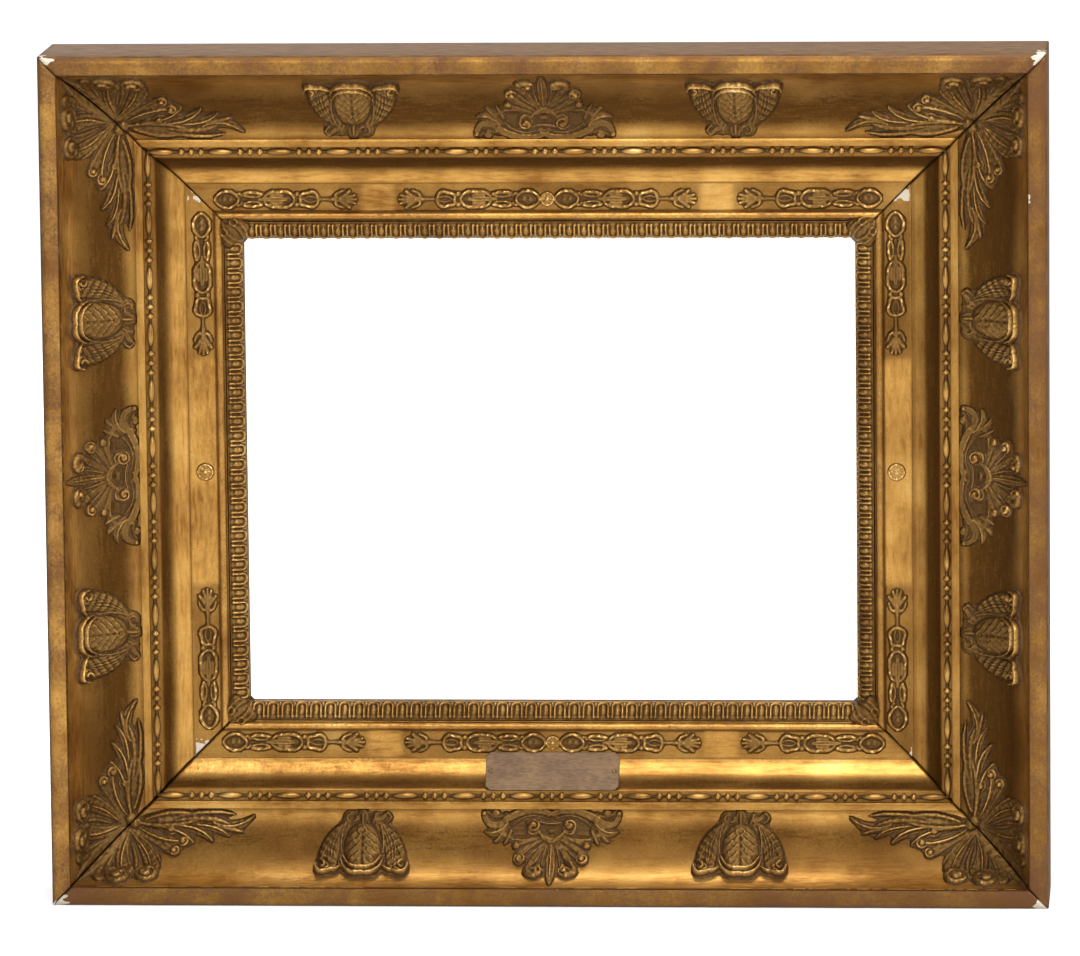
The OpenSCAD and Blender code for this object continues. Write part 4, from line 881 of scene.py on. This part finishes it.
leaf_cast = cast(-12.5, 12.5, -3.9, 22, leaf_pattern, 0, 0, 0.15)
for side, which in enumerate(CORNERS):
    bm = leaf_cast.copy()
    close_behind(bm, -1.2)
    turn = (Matrix.Translation((half_of(side) - SIGHT_EDGE, SIGHT_EDGE, 0))
            @ Matrix.Rotation(math.radians(-135), 4, "Z"))
    for v in bm.verts:
        flat = turn @ Vector((v.co.x, v.co.y, 0))
        # it lies on whichever strip is higher there, and slopes down over the astragal
        inward = min(flat.y, half_of(side) - flat.x)
        swell = 1.5
        if inward < 128.6:
            across = max(inward, STRIP_OUT - 3) - OVOLO_MID[0]
            swell = math.sqrt(max(0.0, (OVOLO_R + 0.3) ** 2 - across ** 2))
        v.co = (flat.x, flat.y, OVOLO_MID[1] + swell + v.co.z)
    settle(bm, "corner_leaf_" + which, side, "sight_leaf_" + which, 47 + side * 0.4, side + 83)

# Title plate: a thin sheet of brass with clipped corners, darkened by age, held by two brass pins
# on the slope of the lower cove. Its face is bare.
def darkened_brass(name, bright, dark, rough):
    """Rolled brass gone brown, dull with a slight sheen: fine rubbing lines, and darker blotches
    about 17 mm wide."""
    material, tree, shader = new_material(name)
    place = add(tree, "TexCoord", out="Object")
    lines = add(tree, "Mapping", {"Vector": place, "Scale": (0.25, 1, 1)})
    blotch = add(tree, "TexNoise", {"Vector": place, "Scale": 60, "Detail": 5, "Roughness": 0.6})
    fine = add(tree, "TexNoise", {"Vector": lines, "Scale": 900, "Detail": 2})
    both = add(tree, "Math", {0: blotch, 1: fine}, operation="ADD")
    half = add(tree, "Math", {0: both, 1: 0.5}, operation="MULTIPLY")
    colour = add(tree, "ValToRGB", {"Fac": half}, stops=((0.4, linear(dark)), (0.62, linear(bright))))
    metal = add(tree, "MapRange", {"Value": half, "From Min": 0.4, "From Max": 0.6, "To Min": 0.4,
                                   "To Max": 0.6})
    bump = add(tree, "Bump", {"Strength": 0.15, "Distance": 0.0002, "Height": fine})
    wire(tree, shader, {"Base Color": colour, "Metallic": metal, "Normal": bump, "Roughness": rough})
    return material


def dress(name, material):
    """Gives a CAD node that stays as it is its real finish."""
    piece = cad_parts[name]
    piece.data.materials.clear()
    piece.data.materials.append(material)


plate_brass = darkened_brass("darkened sheet brass", "#866A4C", "#684F38", 0.5)
pin_brass = darkened_brass("brass pins", "#8E7344", "#4A371E", 0.4)
PLATE_LONG, PLATE_CLIP, PLATE_THICK, PLATE_EDGE = 89.0, 3.0, 0.9, 0.35
foot, head = Vector((0, 94.3, 27.6)), Vector((0, 71.02, 42.42))
slope = (head - foot).normalized()
outward = Vector((0, slope.z, -slope.y))
bm = bmesh.new()
made = bmesh.ops.create_grid(bm, x_segments=1, y_segments=1, size=1.0)["verts"]
size = Matrix.Diagonal((PLATE_LONG / 2, (head - foot).length / 2, 1, 1))
move(bm, size)
bmesh.ops.bevel(bm, geom=made, offset=PLATE_CLIP, affect="VERTICES", segments=1, profile=0.5, material=-1)
top = bmesh.ops.extrude_face_region(bm, geom=bm.faces[:])["geom"]
bmesh.ops.translate(bm, vec=(0, 0, PLATE_THICK), verts=verts_in(top))
edge = [e for e in bm.edges if all(v.co.z > 0.8 for v in e.verts) and len(e.link_faces) == 2]
bmesh.ops.bevel(bm, geom=edge, offset=PLATE_EDGE, affect="EDGES", segments=2, profile=0.5, material=-1)
face_outwards(bm)
frame_of_plate = Matrix((
    (1, 0, 0, 0),
    (0, slope.y, outward.y, (foot.y + head.y) / 2),
    (0, slope.z, outward.z, (foot.z + head.z) / 2),
    (0, 0, 0, 1)))
move(bm, frame_of_plate)
plate = finish_piece(bm, "brass_title_plate", 0, plate_brass, ["title_plate"], 0, 0, 0, "plate_brass")
for face in plate.data.polygons:
    face.use_smooth = False
dress("title_plate_pins", pin_brass)

# Mitre keys: beech slips let in across the back of each mitre, planed flush and never finished. The
# dry wood is matt and pale brown, with fibres about 1 mm wide.
key_wood, tree, shader = new_material("bare beech")
place = add(tree, "TexCoord", out="Object")
fibre = add(tree, "Mapping", {"Vector": place, "Rotation": (0, math.pi / 4, 0), "Scale": (1, 1, 9)})
figure = add(tree, "TexNoise", {"Vector": fibre, "Scale": 110, "Detail": 5, "Roughness": 0.6})
colour = add(tree, "ValToRGB", {"Fac": figure}, stops=((0.35, linear("#6E4B2B")),
                                                       (0.65, linear("#A27A4C"))))
wire(tree, shader, {"Base Color": colour, "Roughness": 0.7})
dress("mitre_keys", key_wood)

# Hangers and turn buttons: zinc-plated steel straps, D rings and screws, and stamped brass
# buttons that swing over the picture in its rebate. The zinc has gone cloudy in patches of 4 mm,
# some duller than others.
steel, tree, shader = new_material("dulled zinc-plated steel")
place = add(tree, "TexCoord", out="Object")
cloud = add(tree, "TexNoise", {"Vector": place, "Scale": 260, "Detail": 4})
colour = add(tree, "ValToRGB", {"Fac": cloud}, stops=((0.35, linear("#6F6B64")), (0.65, linear("#A8A49B"))))
rough = add(tree, "MapRange", {"Value": cloud, "To Min": 0.3, "To Max": 0.6})
wire(tree, shader, {"Base Color": colour, "Roughness": rough, "Metallic": 0.9})
button_brass = darkened_brass("stamped button brass", "#B39650", "#6B5228", 0.38)
for name in ("hanger_strap_left", "hanger_strap_right", "hanger_ring_left", "hanger_ring_right",
             "hanger_screws", "turn_button_screws"):
    dress(name, steel)
for which in SIDES:
    dress("turn_button_" + which, button_brass)

# Studio: a plain white floor and a white background; a wide soft lamp overhead and one in front give
# most of the light, weaker ones stand high in front and on the right, and one lights the back.
def background_rays(tree):
    """The camera's own rays, and all the rays that see the background: through glass and off gloss."""
    rays = add(tree, "LightPath").node.outputs
    camera_ray, glass_ray = rays["Is Camera Ray"], rays["Is Transmission Ray"]
    seen = add(tree, "Math", {0: camera_ray, 1: glass_ray}, operation="MAXIMUM")
    seen = add(tree, "Math", {0: seen, 1: rays["Is Glossy Ray"]}, operation="MAXIMUM")
    return camera_ray, seen


floor_white, tree, shader = new_material("white floor")
seen = background_rays(tree)[1]
# it stays white a long way from the lamps, and keeps the frame's soft shadow near its foot
place = add(tree, "TexCoord", out="Object")
far = add(tree, "VectorMath", {0: place}, operation="LENGTH", out="Value")
far = add(tree, "MapRange", {"Value": far, "From Min": 0.5, "From Max": 2.2, "To Min": 0.5, "To Max": 1.0})
glow = add(tree, "Math", {0: seen, 1: far}, operation="MULTIPLY")
wire(tree, shader, {"Base Color": linear("#E6E5E3"), "Roughness": 0.8,
                    "Emission Color": (1, 1, 1, 1), "Emission Strength": glow})
bm = bmesh.new()
bmesh.ops.create_grid(bm, x_segments=1, y_segments=1, size=14.0)
floor_mesh = mesh_of(bm, "floor")
floor_mesh.materials.append(floor_white)
floor = put("floor", floor_mesh)

world = bpy.data.worlds.new("studio")
bpy.context.scene.world = world
world.use_nodes = True
tree = world.node_tree
camera_ray, direct = background_rays(tree)
# a white sheet stands behind the frame and fills what the camera sees; the room in front is dim
behind = add(tree, "SeparateXYZ", {"Vector": add(tree, "TexCoord", out="Generated")}, out="Y")
sheet = add(tree, "MapRange", {"Value": behind, "From Min": 0.7, "From Max": 0.85, "To Min": 0.06})
sheet = add(tree, "Math", {0: sheet, 1: camera_ray}, operation="MAXIMUM")
level = add(tree, "Mix", {0: direct, 2: 0.1, 3: sheet}, data_type="FLOAT")
wire(tree, tree.nodes["Background"], {"Color": (1, 1, 1, 1), "Strength": level})


def soft_lamp(name, place, target, size, power):
    lamp = bpy.data.lights.new(name, "AREA")
    lamp.size = size
    lamp.energy = power
    made = put(name, lamp)
    made.location = place
    made.rotation_euler = (Vector(target) - Vector(place)).to_track_quat("-Z", "Y").to_euler()


soft_lamp("overhead", (0.3, 0.2, 2.4), (0, 0, 0.3), 1.6, 46)
soft_lamp("front", (0.0, -3.5, 1.6), (0, 0, 0.28), 1.2, 42)
soft_lamp("right", (2.1, -0.9, 1.4), (0, 0, 0.3), 1.0, 24)
soft_lamp("front high", (0.1, -2.0, 2.2), (0, 0, 0.3), 1.0, 26)
soft_lamp("behind", (-0.9, 2.6, 1.4), (0, 0, 0.3), 1.4, 30)

camera = bpy.data.cameras.new("camera")
camera.lens = 300.95
camera.sensor_width = 36.0
camera.clip_end = 60
viewer = put("camera", camera)
viewer.location = (0.43161, -5.89798, 1.16973)
viewer.rotation_euler = [math.radians(a) for a in (81.4595, 0.6032, 4.1494)]
bpy.context.scene.camera = viewer
bpy.context.scene.view_settings.view_transform = "Standard"
